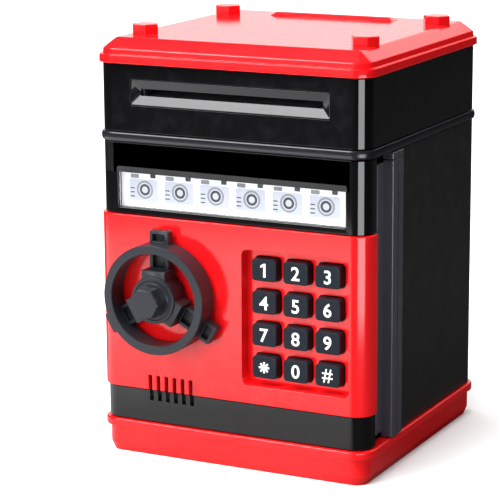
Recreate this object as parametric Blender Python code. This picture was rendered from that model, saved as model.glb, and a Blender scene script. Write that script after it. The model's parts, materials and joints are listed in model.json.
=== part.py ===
"""Toy cash machine money box: a plastic safe with a coin slot, a bill slot and a keypad door.

Metres, +Z up. The front faces -Y and the origin is the middle of the underside.
Every object is one separate piece of the real toy. Run it with
blender --background --python part.py, or from the text editor.
"""

import math

import bmesh
import bpy
from mathutils import Matrix, Vector

MM = 0.001

# ---------------------------------------------------------------- driving sizes
# Cabinet body
BODY_WIDTH = 130.0 * MM
BODY_DEPTH = 128.0 * MM
BODY_CORNER = 7.5 * MM
WALL = 2.3 * MM
FIT_GAP = 0.3 * MM  # between pieces that sit against each other
SEAM = 0.4 * MM  # around the door
CORNER_STEPS = 6

# Heights, from the floor up
BASE_HEIGHT = 15.9 * MM
LOWER_HEIGHT = 128.0 * MM
BEAD_HEIGHT = 3.9 * MM
UPPER_HEIGHT = 30.7 * MM
LID_HEIGHT = 10.6 * MM

# Base plinth
BASE_LIP_PROUD = 1.7 * MM
BASE_LIP_HEIGHT = 3.7 * MM
PLINTH_INSET = 0.3 * MM
PLINTH_CHAMFER = 1.6 * MM
PLINTH_CHAMFER_HEIGHT = 4.0 * MM
BASE_FLOOR = 2.0 * MM
BASE_SCREW_RADIUS = 2.6 * MM
BASE_SCREW_INSET = 14.0 * MM

# Deck between the money compartment and the feeder
BEAD_PROUD = 1.2 * MM
DECK_THICKNESS = 2.3 * MM
BILL_DROP_HALF_WIDTH = 44.0 * MM
BILL_DROP_BEHIND_FEED = 10.0 * MM
BILL_DROP_TO_COIN_SLOT = 26.6 * MM
BOARD_PAD_INSET = 19.5 * MM  # main board pads, in from the side faces
BOARD_PAD_RADIUS = 2.5 * MM
BOARD_PAD_HEIGHT = 3.0 * MM
BOARD_INSET = 13.0 * MM

# Lid
LID_FLANGE_PROUD = 1.7 * MM
LID_FLANGE_HEIGHT = 3.6 * MM
LID_BAND_HEIGHT = 2.5 * MM
LID_BEVEL = 6.3 * MM
LID_WALL = 2.2 * MM
STUD_ACROSS = 13.0 * MM
STUD_HEIGHT = 4.2 * MM
STUD_INSET_X = 11.4 * MM  # stud middles, in from the side faces
STUD_INSET_Y = 23.8 * MM
COIN_SLOT_LENGTH = 40.4 * MM
COIN_SLOT_WIDTH = 3.4 * MM
COIN_SLOT_INSET = 25.4 * MM  # in from the back face
COIN_HOOD_HALF = 29.0 * MM
COIN_HOOD_HEIGHT = 1.6 * MM
COIN_HOOD_DEPTH = 8.0 * MM
COIN_CHUTE_WALL = 1.4 * MM

# Bill slot in the upper housing
BEZEL_WIDTH = 96.0 * MM
BEZEL_HEIGHT = 11.2 * MM
BEZEL_Z_BELOW_LID = 12.6 * MM  # middle of the slot, down from the lid's lower edge
BILL_SLOT_WIDTH = 87.8 * MM
BILL_SLOT_HEIGHT = 3.2 * MM
BEZEL_FLANGE = 2.0 * MM

# Bill feeder
FEED_SETBACK = 34.0 * MM  # feed shaft back from the front face
FEED_RING_RADIUS = 6.0 * MM
FEED_RING_WIDTH = 10.0 * MM
FEED_RING_X = (-29.0 * MM, 9.0 * MM)
FEED_SHAFT_RADIUS = 2.0 * MM
PINCH_RADIUS = 4.8 * MM
PINCH_SHAFT_RADIUS = 1.5 * MM
CHEEK_X = 47.0 * MM
CHEEK_THICKNESS = 2.0 * MM
CHEEK_TOP_BELOW_LID = 1.6 * MM
GEAR_TEETH = 20
PINION_TEETH = 10
GEAR_MODULE = 1.0 * MM
GEAR_WIDTH = 4.0 * MM
MOTOR_RADIUS = 8.5 * MM
MOTOR_FLAT = 6.0 * MM
MOTOR_LENGTH = 25.0 * MM
MOTOR_DROP = 4.3 * MM  # motor axis below the feed shaft

# Door
DOOR_DEPTH = 10.5 * MM
DOOR_WALL = 3.5 * MM
FASCIA_PROUD = 1.2 * MM
FASCIA_THICKNESS = 2.1 * MM
FASCIA_RETURN = 9.5 * MM
FASCIA_BOTTOM = 31.5 * MM
FASCIA_BELOW_WINDOW = 3.2 * MM
WINDOW_HALF = 55.3 * MM
WINDOW_HEIGHT = 17.8 * MM
WINDOW_BELOW_BEAD = 11.9 * MM
LENS_THICKNESS = 1.2 * MM
LENS_RECESS = 0.8 * MM
CARD_THICKNESS = 0.6 * MM
CARD_MARGIN = 1.7 * MM
BACK_COVER_DEPTH = 12.0 * MM
BACK_COVER_WALL = 1.8 * MM
BACK_COVER_MARGIN = 2.5 * MM

# Keypad
PAD_INSET = 7.4 * MM  # right edge, in from the side face
PAD_BELOW_FASCIA_TOP = 10.1 * MM
PAD_MARGIN_X = 4.3 * MM  # recess edge to the outer keys
PAD_MARGIN_Z = 3.5 * MM
PAD_DEPTH = 5.5 * MM
PAD_CORNER = 3.0 * MM
PAD_FLOOR = 1.5 * MM
PAD_WALL = 1.6 * MM
KEY_WIDTH = 12.3 * MM
KEY_HEIGHT = 10.4 * MM
KEY_DRAFT = 0.5 * MM
KEY_CORNER = 1.8 * MM
KEY_SPACE_X = 2.9 * MM
KEY_SPACE_Z = 4.15 * MM
KEY_STAND = 4.7 * MM
KEY_FLANGE = 0.9 * MM
KEY_FLANGE_THICKNESS = 1.0 * MM
KEY_TRAVEL = 1.5 * MM
MAT_THICKNESS = 1.2 * MM
BOARD_THICKNESS = 1.6 * MM
KEY_NAMES = (("1", "2", "3"), ("4", "5", "6"), ("7", "8", "9"), ("star", "0", "hash"))

# Handwheel and lock
WHEEL_INSET = 33.8 * MM  # axis in from the left face
WHEEL_BELOW_FASCIA_TOP = 34.4 * MM
RIM_RADIUS = 24.7 * MM
RIM_WIDTH = 4.0 * MM
WHEEL_DEPTH = 11.0 * MM
WHEEL_CLEARANCE = 1.5 * MM
HUB_RADIUS = 10.6 * MM
SPOKE_WIDTH = 9.4 * MM
SPOKE_RAIL = 1.6 * MM
SPOKE_SETBACK = 6.5 * MM  # spoke and lug faces, behind the rim's face
SPOKE_RECESS = 2.4 * MM
LUG_REACH = 5.4 * MM
BOLT_ACROSS = 14.2 * MM
BOLT_HEIGHT = 7.4 * MM
BOLT_STUB_RADIUS = 2.2 * MM
BOLT_STUB_LENGTH = 2.5 * MM
WHEEL_SHAFT_RADIUS = 3.0 * MM
LOCK_DISC_RADIUS = 10.0 * MM
LOCK_DISC_THICKNESS = 4.0 * MM
LOCK_NOTCH_DEPTH = 3.7 * MM
PLUNGER_RADIUS = 2.0 * MM
PLUNGER_LENGTH = 18.0 * MM
PLUNGER_TRAVEL = 3.0 * MM
PLUNGER_REST_GAP = 0.5 * MM
SOLENOID_WIDTH = 12.0 * MM
SOLENOID_DEPTH = 10.0 * MM
SOLENOID_HEIGHT = 18.0 * MM
ARM_CLEARANCE = 0.5 * MM  # arm tip to the keeper's foot
ARM_WIDTH = 6.0 * MM
ARM_THICKNESS = 2.5 * MM
ARM_HUB_RADIUS = 6.0 * MM
KEEPER_THICKNESS = 2.0 * MM
KEEPER_FOOT = 1.5 * MM
KEEPER_REACH = 6.9 * MM
KEEPER_HEIGHT = 13.0 * MM

# Hinge on the right side
HINGE_X_IN = 0.7 * MM  # axis in from the side face
HINGE_Y = 30.0 * MM  # axis back from the front face
HINGE_BAR_PROUD = 2.1 * MM
HINGE_BAR_FRONT = 6.0 * MM  # bar in front of its axis
HINGE_BAR_BACK = 5.5 * MM
HINGE_BAR_INNER = 2.8 * MM
HINGE_LEAF_INSET = 2.6 * MM
HINGE_LEAF_THICKNESS = 2.2 * MM
HINGE_PIN_RADIUS = 1.2 * MM
HINGE_PIN_LENGTH = 7.0 * MM
KNUCKLE_HEIGHT = 3.0 * MM
POCKET_CLEARANCE = 0.5 * MM

# Vents and speaker
VENT_COUNT = 6
VENT_PITCH = 4.1 * MM
VENT_WIDTH = 1.8 * MM
VENT_FIRST_INSET = 25.0 * MM  # first vent, in from the left face
VENT_ABOVE_FASCIA_BOTTOM = 6.9 * MM
VENT_BELOW_FASCIA_BOTTOM = 5.2 * MM
SPEAKER_RADIUS = 13.0 * MM
SPEAKER_DEPTH = 7.5 * MM

# Batteries
CELL_RADIUS = 7.1 * MM
CELL_LENGTH = 50.0 * MM
CELL_COUNT = 3
CELL_GAP = 0.8 * MM
BAY_MARGIN = 3.0 * MM
BAY_WALL = 1.8 * MM
BAY_CLEARANCE = 0.2 * MM  # from the cell bay's rear wall to the plinth's inside face

# ---------------------------------------------------------------- derived places
HALF_X = BODY_WIDTH / 2
HALF_Y = BODY_DEPTH / 2
FRONT = -HALF_Y
Z_BEAD = BASE_HEIGHT + LOWER_HEIGHT
Z_UPPER = Z_BEAD + BEAD_HEIGHT
Z_LID = Z_UPPER + UPPER_HEIGHT
Z_TOP = Z_LID + LID_HEIGHT
Z_DECK = Z_BEAD + DECK_THICKNESS

STUD_X = HALF_X - STUD_INSET_X
STUD_Y = HALF_Y - STUD_INSET_Y
COIN_SLOT_Y = HALF_Y - COIN_SLOT_INSET
FEED_Y = FRONT + FEED_SETBACK
BILL_DROP_FRONT = FEED_Y + BILL_DROP_BEHIND_FEED
BILL_DROP_BACK = COIN_SLOT_Y - BILL_DROP_TO_COIN_SLOT

WINDOW_TOP = Z_BEAD - WINDOW_BELOW_BEAD
WINDOW_BOTTOM = WINDOW_TOP - WINDOW_HEIGHT
FASCIA_TOP = WINDOW_BOTTOM - FASCIA_BELOW_WINDOW
KEY_PITCH_X = KEY_WIDTH + KEY_SPACE_X
KEY_PITCH_Z = KEY_HEIGHT + KEY_SPACE_Z
PAD_WIDTH = 2 * KEY_PITCH_X + KEY_WIDTH + 2 * PAD_MARGIN_X
PAD_HEIGHT = 3 * KEY_PITCH_Z + KEY_HEIGHT + 2 * PAD_MARGIN_Z
PAD_X = HALF_X - PAD_INSET - PAD_WIDTH / 2
PAD_Z = FASCIA_TOP - PAD_BELOW_FASCIA_TOP - PAD_HEIGHT / 2
WHEEL_X = -HALF_X + WHEEL_INSET
WHEEL_Z = FASCIA_TOP - WHEEL_BELOW_FASCIA_TOP
VENT_FIRST_X = -HALF_X + VENT_FIRST_INSET
VENT_TOP = FASCIA_BOTTOM + VENT_ABOVE_FASCIA_BOTTOM
VENT_BOTTOM = FASCIA_BOTTOM - VENT_BELOW_FASCIA_BOTTOM

DOOR_BOTTOM = BASE_HEIGHT + SEAM
DOOR_TOP = Z_BEAD - SEAM
DOOR_BACK = FRONT + DOOR_DEPTH
DOOR_INSIDE = FRONT + DOOR_WALL
FASCIA_FRONT = FRONT - FASCIA_PROUD
PAD_FLOOR_Y = FASCIA_FRONT + PAD_DEPTH
PAD_BACK_Y = PAD_FLOOR_Y + PAD_FLOOR
KEY_FLANGE_Y = PAD_BACK_Y + FIT_GAP
MAT_Y = KEY_FLANGE_Y + KEY_FLANGE_THICKNESS + KEY_TRAVEL + FIT_GAP
BOARD_Y = MAT_Y + MAT_THICKNESS + FIT_GAP
COVER_FRONT = DOOR_BACK + FIT_GAP
COVER_BACK = COVER_FRONT + BACK_COVER_DEPTH

HINGE_AXIS = Vector((HALF_X - HINGE_X_IN, FRONT + HINGE_Y, 0.0))
BAR_OUTER = HALF_X + HINGE_BAR_PROUD
BAR_REACH = math.hypot(
    BAR_OUTER - HINGE_AXIS.x, max(HINGE_BAR_FRONT, HINGE_BAR_BACK)
)
POCKET_RADIUS = BAR_REACH + POCKET_CLEARANCE
POCKET_BACK = HINGE_AXIS.y + POCKET_RADIUS
POCKET_INNER = HINGE_AXIS.x - POCKET_RADIUS
POCKET_FRONT = COVER_BACK + FIT_GAP
COVER_LEFT = -HALF_X + WALL + 1.3 * MM
COVER_RIGHT = POCKET_INNER + 1.0 * MM

WHEEL_BACK = FASCIA_FRONT - WHEEL_CLEARANCE
WHEEL_FRONT = WHEEL_BACK - WHEEL_DEPTH
SHAFT_FRONT = WHEEL_FRONT + BOLT_STUB_LENGTH + 1.5 * MM
ARM_HUB_FRONT = COVER_BACK + FIT_GAP
KEEPER_Y = ARM_HUB_FRONT
ARM_Y = KEEPER_Y + KEEPER_THICKNESS + FIT_GAP
ARM_BACK = ARM_Y + ARM_THICKNESS
SHAFT_BACK = ARM_BACK + 0.8 * MM
ARM_LENGTH = WHEEL_X + HALF_X - WALL - FIT_GAP - KEEPER_FOOT - ARM_CLEARANCE
LOCK_DISC_Y = DOOR_BACK - LOCK_DISC_THICKNESS / 2
PLUNGER_Y = DOOR_BACK
PLUNGER_TIP = WHEEL_Z + LOCK_DISC_RADIUS + PLUNGER_REST_GAP
SOLENOID_BOTTOM = PLUNGER_TIP + PLUNGER_TRAVEL + 1.0 * MM
SOLENOID_X = WHEEL_X

BEZEL_Z = Z_LID - BEZEL_Z_BELOW_LID
BILL_Z = BEZEL_Z - BILL_SLOT_HEIGHT / 2
FEED_Z = BILL_Z + 1.4 * MM - FEED_RING_RADIUS
PINCH_Z = FEED_Z + FEED_RING_RADIUS + 0.5 * MM + PINCH_RADIUS
GEAR_X = CHEEK_X + CHEEK_THICKNESS + 0.6 * MM
GEAR_DISTANCE = GEAR_MODULE * (GEAR_TEETH + PINION_TEETH) / 2
MOTOR_Z = FEED_Z - MOTOR_DROP
MOTOR_Y = FEED_Y - math.sqrt(GEAR_DISTANCE**2 - MOTOR_DROP**2)
MESH_ANGLE = math.atan2(MOTOR_Z - FEED_Z, MOTOR_Y - FEED_Y)

CELL_Z = BASE_FLOOR + 0.6 * MM + CELL_RADIUS
BAY_HALF_X = CELL_LENGTH / 2 + BAY_MARGIN
BAY_DEPTH = CELL_COUNT * (2 * CELL_RADIUS + CELL_GAP) + CELL_GAP
BAY_BACK = HALF_Y - PLINTH_INSET - PLINTH_CHAMFER - WALL - BAY_CLEARANCE - BAY_WALL
BAY_FRONT = BAY_BACK - BAY_DEPTH
BAY_TOP = CELL_Z + CELL_RADIUS + 0.6 * MM
FLOOR_PLATE_Z = BASE_HEIGHT - DECK_THICKNESS

# ---------------------------------------------------------------- finishes
FINISHES = {
    "red_shell": ((0.78, 0.01, 0.02), 0.22, 0.0),
    "black_shell": ((0.012, 0.012, 0.014), 0.25, 0.0),
    "grey_plastic": ((0.10, 0.10, 0.12), 0.35, 0.0),
    "key_plastic": ((0.03, 0.04, 0.05), 0.45, 0.0),
    "clear_lens": ((0.85, 0.88, 0.9), 0.05, 0.0),
    "printed_card": ((0.75, 0.76, 0.78), 0.6, 0.0),
    "rubber": ((0.03, 0.03, 0.03), 0.85, 0.0),
    "steel": ((0.62, 0.62, 0.64), 0.3, 1.0),
    "white_nylon": ((0.8, 0.8, 0.77), 0.5, 0.0),
    "circuit_board": ((0.05, 0.25, 0.09), 0.5, 0.0),
    "cell_wrap": ((0.10, 0.16, 0.35), 0.35, 0.3),
}


def clear_scene():
    """Remove every object that is already in the scene."""
    for item in list(bpy.data.objects):
        bpy.data.objects.remove(item, do_unlink=True)


def finish(name):
    """The named material, made on first use."""
    material = bpy.data.materials.get(name)
    if material:
        return material
    colour, roughness, metallic = FINISHES[name]
    material = bpy.data.materials.new(name)
    material.use_nodes = True
    shader = material.node_tree.nodes["Principled BSDF"]
    shader.inputs["Base Color"].default_value = (*colour, 1.0)
    shader.inputs["Roughness"].default_value = roughness
    shader.inputs["Metallic"].default_value = metallic
    return material


# ---------------------------------------------------------------- shape helpers
def solid_from(mesh_edit):
    """A new object from a bmesh, with its faces turned outwards."""
    bmesh.ops.recalc_face_normals(mesh_edit, faces=mesh_edit.faces)
    mesh = bpy.data.meshes.new("solid")
    mesh_edit.to_mesh(mesh)
    mesh_edit.free()
    item = bpy.data.objects.new("solid", mesh)
    bpy.context.scene.collection.objects.link(item)
    return item


def loft(loops):
    """A closed solid through loops of points, capped at both ends."""
    edit = bmesh.new()
    rings = [[edit.verts.new(point) for point in loop] for loop in loops]
    edit.faces.new(list(reversed(rings[0])))
    for lower, upper in zip(rings, rings[1:]):
        count = len(lower)
        for i in range(count):
            j = (i + 1) % count
            edit.faces.new((lower[i], lower[j], upper[j], upper[i]))
    edit.faces.new(rings[-1])
    return solid_from(edit)


def rounded_rectangle(x0, x1, y0, y1, radius, steps=CORNER_STEPS):
    """Points of a rectangle with round corners, anticlockwise."""
    corners = (
        (x0 + radius, y0 + radius, math.pi),
        (x1 - radius, y0 + radius, 1.5 * math.pi),
        (x1 - radius, y1 - radius, 0.0),
        (x0 + radius, y1 - radius, 0.5 * math.pi),
    )
    points = []
    for cx, cy, start in corners:
        for step in range(steps + 1):
            angle = start + 0.5 * math.pi * step / steps
            points.append((cx + radius * math.cos(angle), cy + radius * math.sin(angle)))
    return points


def body_outline(proud, z):
    """The body's plan outline, moved outwards by proud, at a height."""
    plan = rounded_rectangle(
        -HALF_X - proud, HALF_X + proud, -HALF_Y - proud, HALF_Y + proud, BODY_CORNER + proud
    )
    return [(x, y, z) for x, y in plan]


def body_profile(sections):
    """A solid of the body's plan through (proud, height) sections."""
    return loft([body_outline(proud, z) for proud, z in sections])


def box(x0, x1, y0, y1, z0, z1):
    """A rectangular block between two corners."""
    plan = ((x0, y0), (x1, y0), (x1, y1), (x0, y1))
    return loft([[(x, y, z) for x, y in plan] for z in (z0, z1)])


def plan_prism(plan, z0, z1):
    """A plan outline carried up from z0 to z1."""
    return loft([[(x, y, z) for x, y in plan] for z in (z0, z1)])


def front_prism(outline, y0, y1):
    """An outline in X and Z carried back from y0 to y1."""
    return loft([[(x, y, z) for x, z in outline] for y in (y1, y0)])


def side_prism(outline, x0, x1):
    """An outline in Y and Z carried across from x0 to x1."""
    return loft([[(x, y, z) for y, z in outline] for x in (x0, x1)])


def circle(cx, cy, radius, steps, turn=0.0):
    """Points round a circle."""
    return [
        (
            cx + radius * math.cos(turn + 2 * math.pi * i / steps),
            cy + radius * math.sin(turn + 2 * math.pi * i / steps),
        )
        for i in range(steps)
    ]


def rod_x(y, z, radius, x0, x1, steps=24):
    """A round bar along X."""
    return side_prism(circle(y, z, radius, steps), x0, x1)


def rod_y(x, z, radius, y0, y1, steps=32):
    """A round bar along Y."""
    return front_prism(circle(x, z, radius, steps), y0, y1)


def rod_z(x, y, radius, z0, z1, steps=24):
    """A round bar along Z."""
    return plan_prism(circle(x, y, radius, steps), z0, z1)


def gear_outline(cy, cz, teeth, turn):
    """A spur gear's outline in Y and Z, with a tooth at the angle turn."""
    pitch = GEAR_MODULE * teeth / 2
    tip = pitch + 0.85 * GEAR_MODULE
    root = pitch - 1.2 * GEAR_MODULE
    step = 2 * math.pi / teeth
    points = []
    for tooth in range(teeth):
        middle = turn + tooth * step
        for share, radius in ((-0.27, root), (-0.10, tip), (0.10, tip), (0.27, root)):
            angle = middle + share * step
            points.append((cy + radius * math.cos(angle), cz + radius * math.sin(angle)))
    return points


def combine(target, tools, operation):
    """Join tools to a solid, or cut them from it, and keep the result."""
    for tool in tools:
        step = target.modifiers.new("combine", "BOOLEAN")
        step.object = tool
        step.operation = operation
        step.solver = "EXACT"
        graph = bpy.context.evaluated_depsgraph_get()
        mesh = bpy.data.meshes.new_from_object(target.evaluated_get(graph))
        target.modifiers.clear()
        target.data = mesh
        bpy.data.objects.remove(tool, do_unlink=True)
    return target


def join(target, *tools):
    """The target with the tools joined to it."""
    return combine(target, tools, "UNION")


def cut(target, *tools):
    """The target with the tools cut from it."""
    return combine(target, tools, "DIFFERENCE")


def piece(name, item, finish_name, pivot=(0.0, 0.0, 0.0)):
    """Name a solid, give it its finish and put its origin on its pivot."""
    item.name = name
    item.data.name = name
    item.data.transform(Matrix.Translation(-Vector(pivot)))
    item.location = pivot
    item.data.materials.clear()
    item.data.materials.append(finish(finish_name))
    item.data.shade_smooth()
    item.data.set_sharp_from_angle(angle=math.radians(35))
    return item


# ---------------------------------------------------------------- cabinet
def base_screw_places():
    """The four screws that hold the plinth, by name."""
    x = HALF_X - BASE_SCREW_INSET
    y = HALF_Y - BASE_SCREW_INSET
    return {"fl": (-x, -y), "fr": (x, -y), "bl": (-x, y), "br": (x, y)}


def build_base():
    """The red plinth, its floor plate and its screws."""
    lip = BASE_LIP_PROUD
    lip_bottom = BASE_HEIGHT - BASE_LIP_HEIGHT
    tub = body_profile(
        (
            (-PLINTH_INSET - PLINTH_CHAMFER, 0.0),
            (-PLINTH_INSET, PLINTH_CHAMFER_HEIGHT),
            (-PLINTH_INSET, lip_bottom),
            (lip - 0.4 * MM, lip_bottom + 0.2 * MM),
            (lip, lip_bottom + 0.7 * MM),
            (lip, BASE_HEIGHT - 0.9 * MM),
            (lip - 0.3 * MM, BASE_HEIGHT - 0.3 * MM),
            (lip - 0.9 * MM, BASE_HEIGHT),
        )
    )
    inner = -PLINTH_INSET - PLINTH_CHAMFER - WALL
    hollow = body_profile(((inner, BASE_FLOOR), (inner, BASE_HEIGHT + WALL)))
    hatch = box(-BAY_HALF_X, BAY_HALF_X, BAY_FRONT, BAY_BACK, -WALL, BASE_FLOOR + WALL)
    pin_hole = rod_z(
        HINGE_AXIS.x,
        HINGE_AXIS.y,
        HINGE_PIN_RADIUS + FIT_GAP,
        lip_bottom + FIT_GAP,
        BASE_HEIGHT + WALL,
    )
    cut(tub, hollow, hatch, pin_hole)
    for x, y in base_screw_places().values():
        boss_top = FLOOR_PLATE_Z - FIT_GAP
        boss = rod_z(x, y, BASE_SCREW_RADIUS + 2.0 * MM, BASE_FLOOR / 2, boss_top)
        join(tub, boss)
        cut(tub, rod_z(x, y, BASE_SCREW_RADIUS + FIT_GAP, -WALL, boss_top - WALL))
    piece("base_tray", tub, "red_shell")

    plate_edge = inner - FIT_GAP
    plate = body_profile(((plate_edge, FLOOR_PLATE_Z), (plate_edge, BASE_HEIGHT - FIT_GAP)))
    side = BAY_HALF_X + BAY_WALL
    roof = box(
        -side, side, BAY_FRONT - BAY_WALL, BAY_BACK + BAY_WALL, FLOOR_PLATE_Z, BAY_TOP + BAY_WALL
    )
    join(plate, roof)
    room = box(-BAY_HALF_X, BAY_HALF_X, BAY_FRONT, BAY_BACK, FLOOR_PLATE_Z - WALL, BAY_TOP)
    cut(plate, room)
    piece("floor_plate", plate, "black_shell")

    cover = box(
        -BAY_HALF_X + FIT_GAP,
        BAY_HALF_X - FIT_GAP,
        BAY_FRONT + FIT_GAP,
        BAY_BACK - FIT_GAP,
        0.4 * MM,
        BASE_FLOOR,
    )
    screw_y = BAY_FRONT + 5.0 * MM
    cut(cover, rod_z(0.0, screw_y, BASE_SCREW_RADIUS + FIT_GAP, -WALL, BASE_FLOOR + WALL))
    piece("battery_cover", cover, "red_shell")
    screw = rod_z(0.0, screw_y, BASE_SCREW_RADIUS, 0.6 * MM, BASE_FLOOR, 16)
    cut(screw, cross_slot(0.0, screw_y, 0.6 * MM))
    piece("battery_cover_screw", screw, "steel")
    for key, (x, y) in base_screw_places().items():
        screw = rod_z(x, y, BASE_SCREW_RADIUS, 1.0 * MM, FLOOR_PLATE_Z - WALL - 1.0 * MM, 16)
        cut(screw, cross_slot(x, y, 1.0 * MM))
        piece(f"base_screw_{key}", screw, "steel")


def cross_slot(x, y, z):
    """A cross-shaped driver slot that opens downwards at a height."""
    arm = 1.6 * MM
    half = 0.35 * MM
    slot = box(x - arm, x + arm, y - half, y + half, z - 1.0 * MM, z + 0.8 * MM)
    return join(slot, box(x - half, x + half, y - arm, y + arm, z - 1.0 * MM, z + 0.8 * MM))


def build_cells():
    """Three battery cells side by side in the plinth."""
    for index in range(CELL_COUNT):
        y = BAY_FRONT + CELL_GAP + CELL_RADIUS + index * (2 * CELL_RADIUS + CELL_GAP)
        way = 1 if index % 2 else -1
        can_half = CELL_LENGTH / 2 - 0.8 * MM
        cell = rod_x(y, CELL_Z, CELL_RADIUS, -can_half, can_half)
        tip = way * can_half
        nub = rod_x(y, CELL_Z, 2.6 * MM, tip - 0.8 * MM, tip + 0.8 * MM)
        piece(f"battery_{index + 1}", join(cell, nub), "cell_wrap")


def casing_plan():
    """Plan of the lower casing: left, back and right walls and the hinge pocket."""
    front = DOOR_BACK + SEAM
    outer = rounded_rectangle(-HALF_X, HALF_X, -HALF_Y, HALF_Y, BODY_CORNER)
    inner = rounded_rectangle(
        -HALF_X + WALL, HALF_X - WALL, -HALF_Y + WALL, HALF_Y - WALL, BODY_CORNER - WALL
    )
    half = len(outer) // 2
    return (
        [(HALF_X, POCKET_BACK)]
        + outer[half:]
        + [(-HALF_X, front), (-HALF_X + WALL, front)]
        + list(reversed(inner[half:]))
        + [
            (HALF_X - WALL, POCKET_BACK + WALL),
            (POCKET_INNER - WALL, POCKET_BACK + WALL),
            (POCKET_INNER - WALL, POCKET_FRONT),
            (POCKET_INNER, POCKET_FRONT),
            (POCKET_INNER, POCKET_BACK),
        ]
    )


def build_casing():
    """The black walls round the money compartment, and the latch keeper."""
    casing = plan_prism(casing_plan(), BASE_HEIGHT + FIT_GAP, Z_BEAD - FIT_GAP)
    piece("casing_shell", casing, "black_shell")

    wall = -HALF_X + WALL + FIT_GAP
    low = WHEEL_Z - KEEPER_HEIGHT / 2
    high = WHEEL_Z + KEEPER_HEIGHT / 2
    foot = box(wall, wall + KEEPER_FOOT, KEEPER_Y, ARM_BACK + 2.0 * MM, low, high)
    tongue = box(
        wall, wall + KEEPER_REACH, KEEPER_Y, KEEPER_Y + KEEPER_THICKNESS, low, high
    )
    piece("latch_keeper", join(foot, tongue), "steel")


def build_deck():
    """The deck with the rounded bead that shows outside."""
    rise = BEAD_HEIGHT
    deck = body_profile(
        (
            (0.0, Z_BEAD),
            (0.75 * BEAD_PROUD, Z_BEAD + 0.12 * rise),
            (BEAD_PROUD, Z_BEAD + 0.35 * rise),
            (BEAD_PROUD, Z_BEAD + 0.65 * rise),
            (0.75 * BEAD_PROUD, Z_BEAD + 0.88 * rise),
            (0.0, Z_UPPER),
        )
    )
    well = body_profile(((-WALL - FIT_GAP, Z_DECK), (-WALL - FIT_GAP, Z_UPPER + WALL)))
    bill = box(
        -BILL_DROP_HALF_WIDTH,
        BILL_DROP_HALF_WIDTH,
        BILL_DROP_FRONT,
        BILL_DROP_BACK,
        Z_BEAD - WALL,
        Z_DECK + WALL,
    )
    chute = COIN_SLOT_LENGTH / 2 + COIN_CHUTE_WALL + 1.5 * MM
    deep = COIN_SLOT_WIDTH / 2 + COIN_CHUTE_WALL + 1.5 * MM
    coin = box(
        -chute, chute, COIN_SLOT_Y - deep, COIN_SLOT_Y + deep, Z_BEAD - WALL, Z_DECK + WALL
    )
    cut(deck, well, bill, coin)
    pads = [
        rod_z(
            x, BILL_DROP_BACK + 10.0 * MM, BOARD_PAD_RADIUS, Z_DECK - 0.5 * MM,
            Z_DECK + BOARD_PAD_HEIGHT, 12,
        )
        for x in (-HALF_X + BOARD_PAD_INSET, HALF_X - BOARD_PAD_INSET)
    ]
    piece("mid_deck", join(deck, *pads), "black_shell")


def build_upper_housing():
    """The black housing of the bill feeder, its slot bezel and its guide."""
    wall = WALL
    housing = body_profile(((0.0, Z_UPPER + FIT_GAP), (0.0, Z_LID - FIT_GAP)))
    cut(housing, body_profile(((-wall, Z_UPPER - WALL), (-wall, Z_LID + WALL))))
    half = BEZEL_WIDTH / 2 + FIT_GAP
    rise = BEZEL_HEIGHT / 2 + FIT_GAP
    opening = box(
        -half, half, FRONT - WALL, FRONT + 2 * WALL, BEZEL_Z - rise, BEZEL_Z + rise
    )
    piece("upper_housing", cut(housing, opening), "black_shell")

    inside = FRONT + WALL + FIT_GAP
    bezel = box(
        -BEZEL_WIDTH / 2,
        BEZEL_WIDTH / 2,
        FRONT,
        inside + 1.0 * MM,
        BEZEL_Z - BEZEL_HEIGHT / 2,
        BEZEL_Z + BEZEL_HEIGHT / 2,
    )
    flange = box(
        -BEZEL_WIDTH / 2 - BEZEL_FLANGE,
        BEZEL_WIDTH / 2 + BEZEL_FLANGE,
        inside,
        inside + 1.2 * MM,
        BEZEL_Z - BEZEL_HEIGHT / 2 - BEZEL_FLANGE,
        BEZEL_Z + BEZEL_HEIGHT / 2 + BEZEL_FLANGE,
    )
    join(bezel, flange)
    slot_x = BILL_SLOT_WIDTH / 2
    slot_z = BILL_SLOT_HEIGHT / 2
    rim = 0.5 * MM
    mouth_x = BEZEL_WIDTH / 2 - rim
    mouth_z = BEZEL_HEIGHT / 2 - rim
    sections = (
        (mouth_x + 0.2 * MM, mouth_z + 0.2 * MM, FRONT - 0.2 * MM),
        (slot_x, slot_z, FRONT + 2.0 * MM),
        (slot_x, slot_z, inside + 3.0 * MM),
    )
    funnel = loft(
        [
            [
                (x, y, BEZEL_Z + z)
                for x, z in ((-sx, -sz), (-sx, sz), (sx, sz), (sx, -sz))
            ]
            for sx, sz, y in sections
        ]
    )
    piece("bill_bezel", cut(bezel, funnel), "grey_plastic")

    guide_back = FEED_Y - FEED_RING_RADIUS - 1.0 * MM
    guide_front = inside + 1.2 * MM + FIT_GAP
    floor_top = BILL_Z - 0.2 * MM
    side = BILL_SLOT_WIDTH / 2 + 0.6 * MM
    guide = box(-side, side, guide_front, guide_back, floor_top - 0.9 * MM, floor_top)
    for x in (-side, side - 1.2 * MM):
        cheek = box(x, x + 1.2 * MM, guide_front, guide_back, floor_top - 0.5 * MM, BEZEL_Z + 3.0 * MM)
        join(guide, cheek)
    piece("bill_guide", guide, "grey_plastic")


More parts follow.
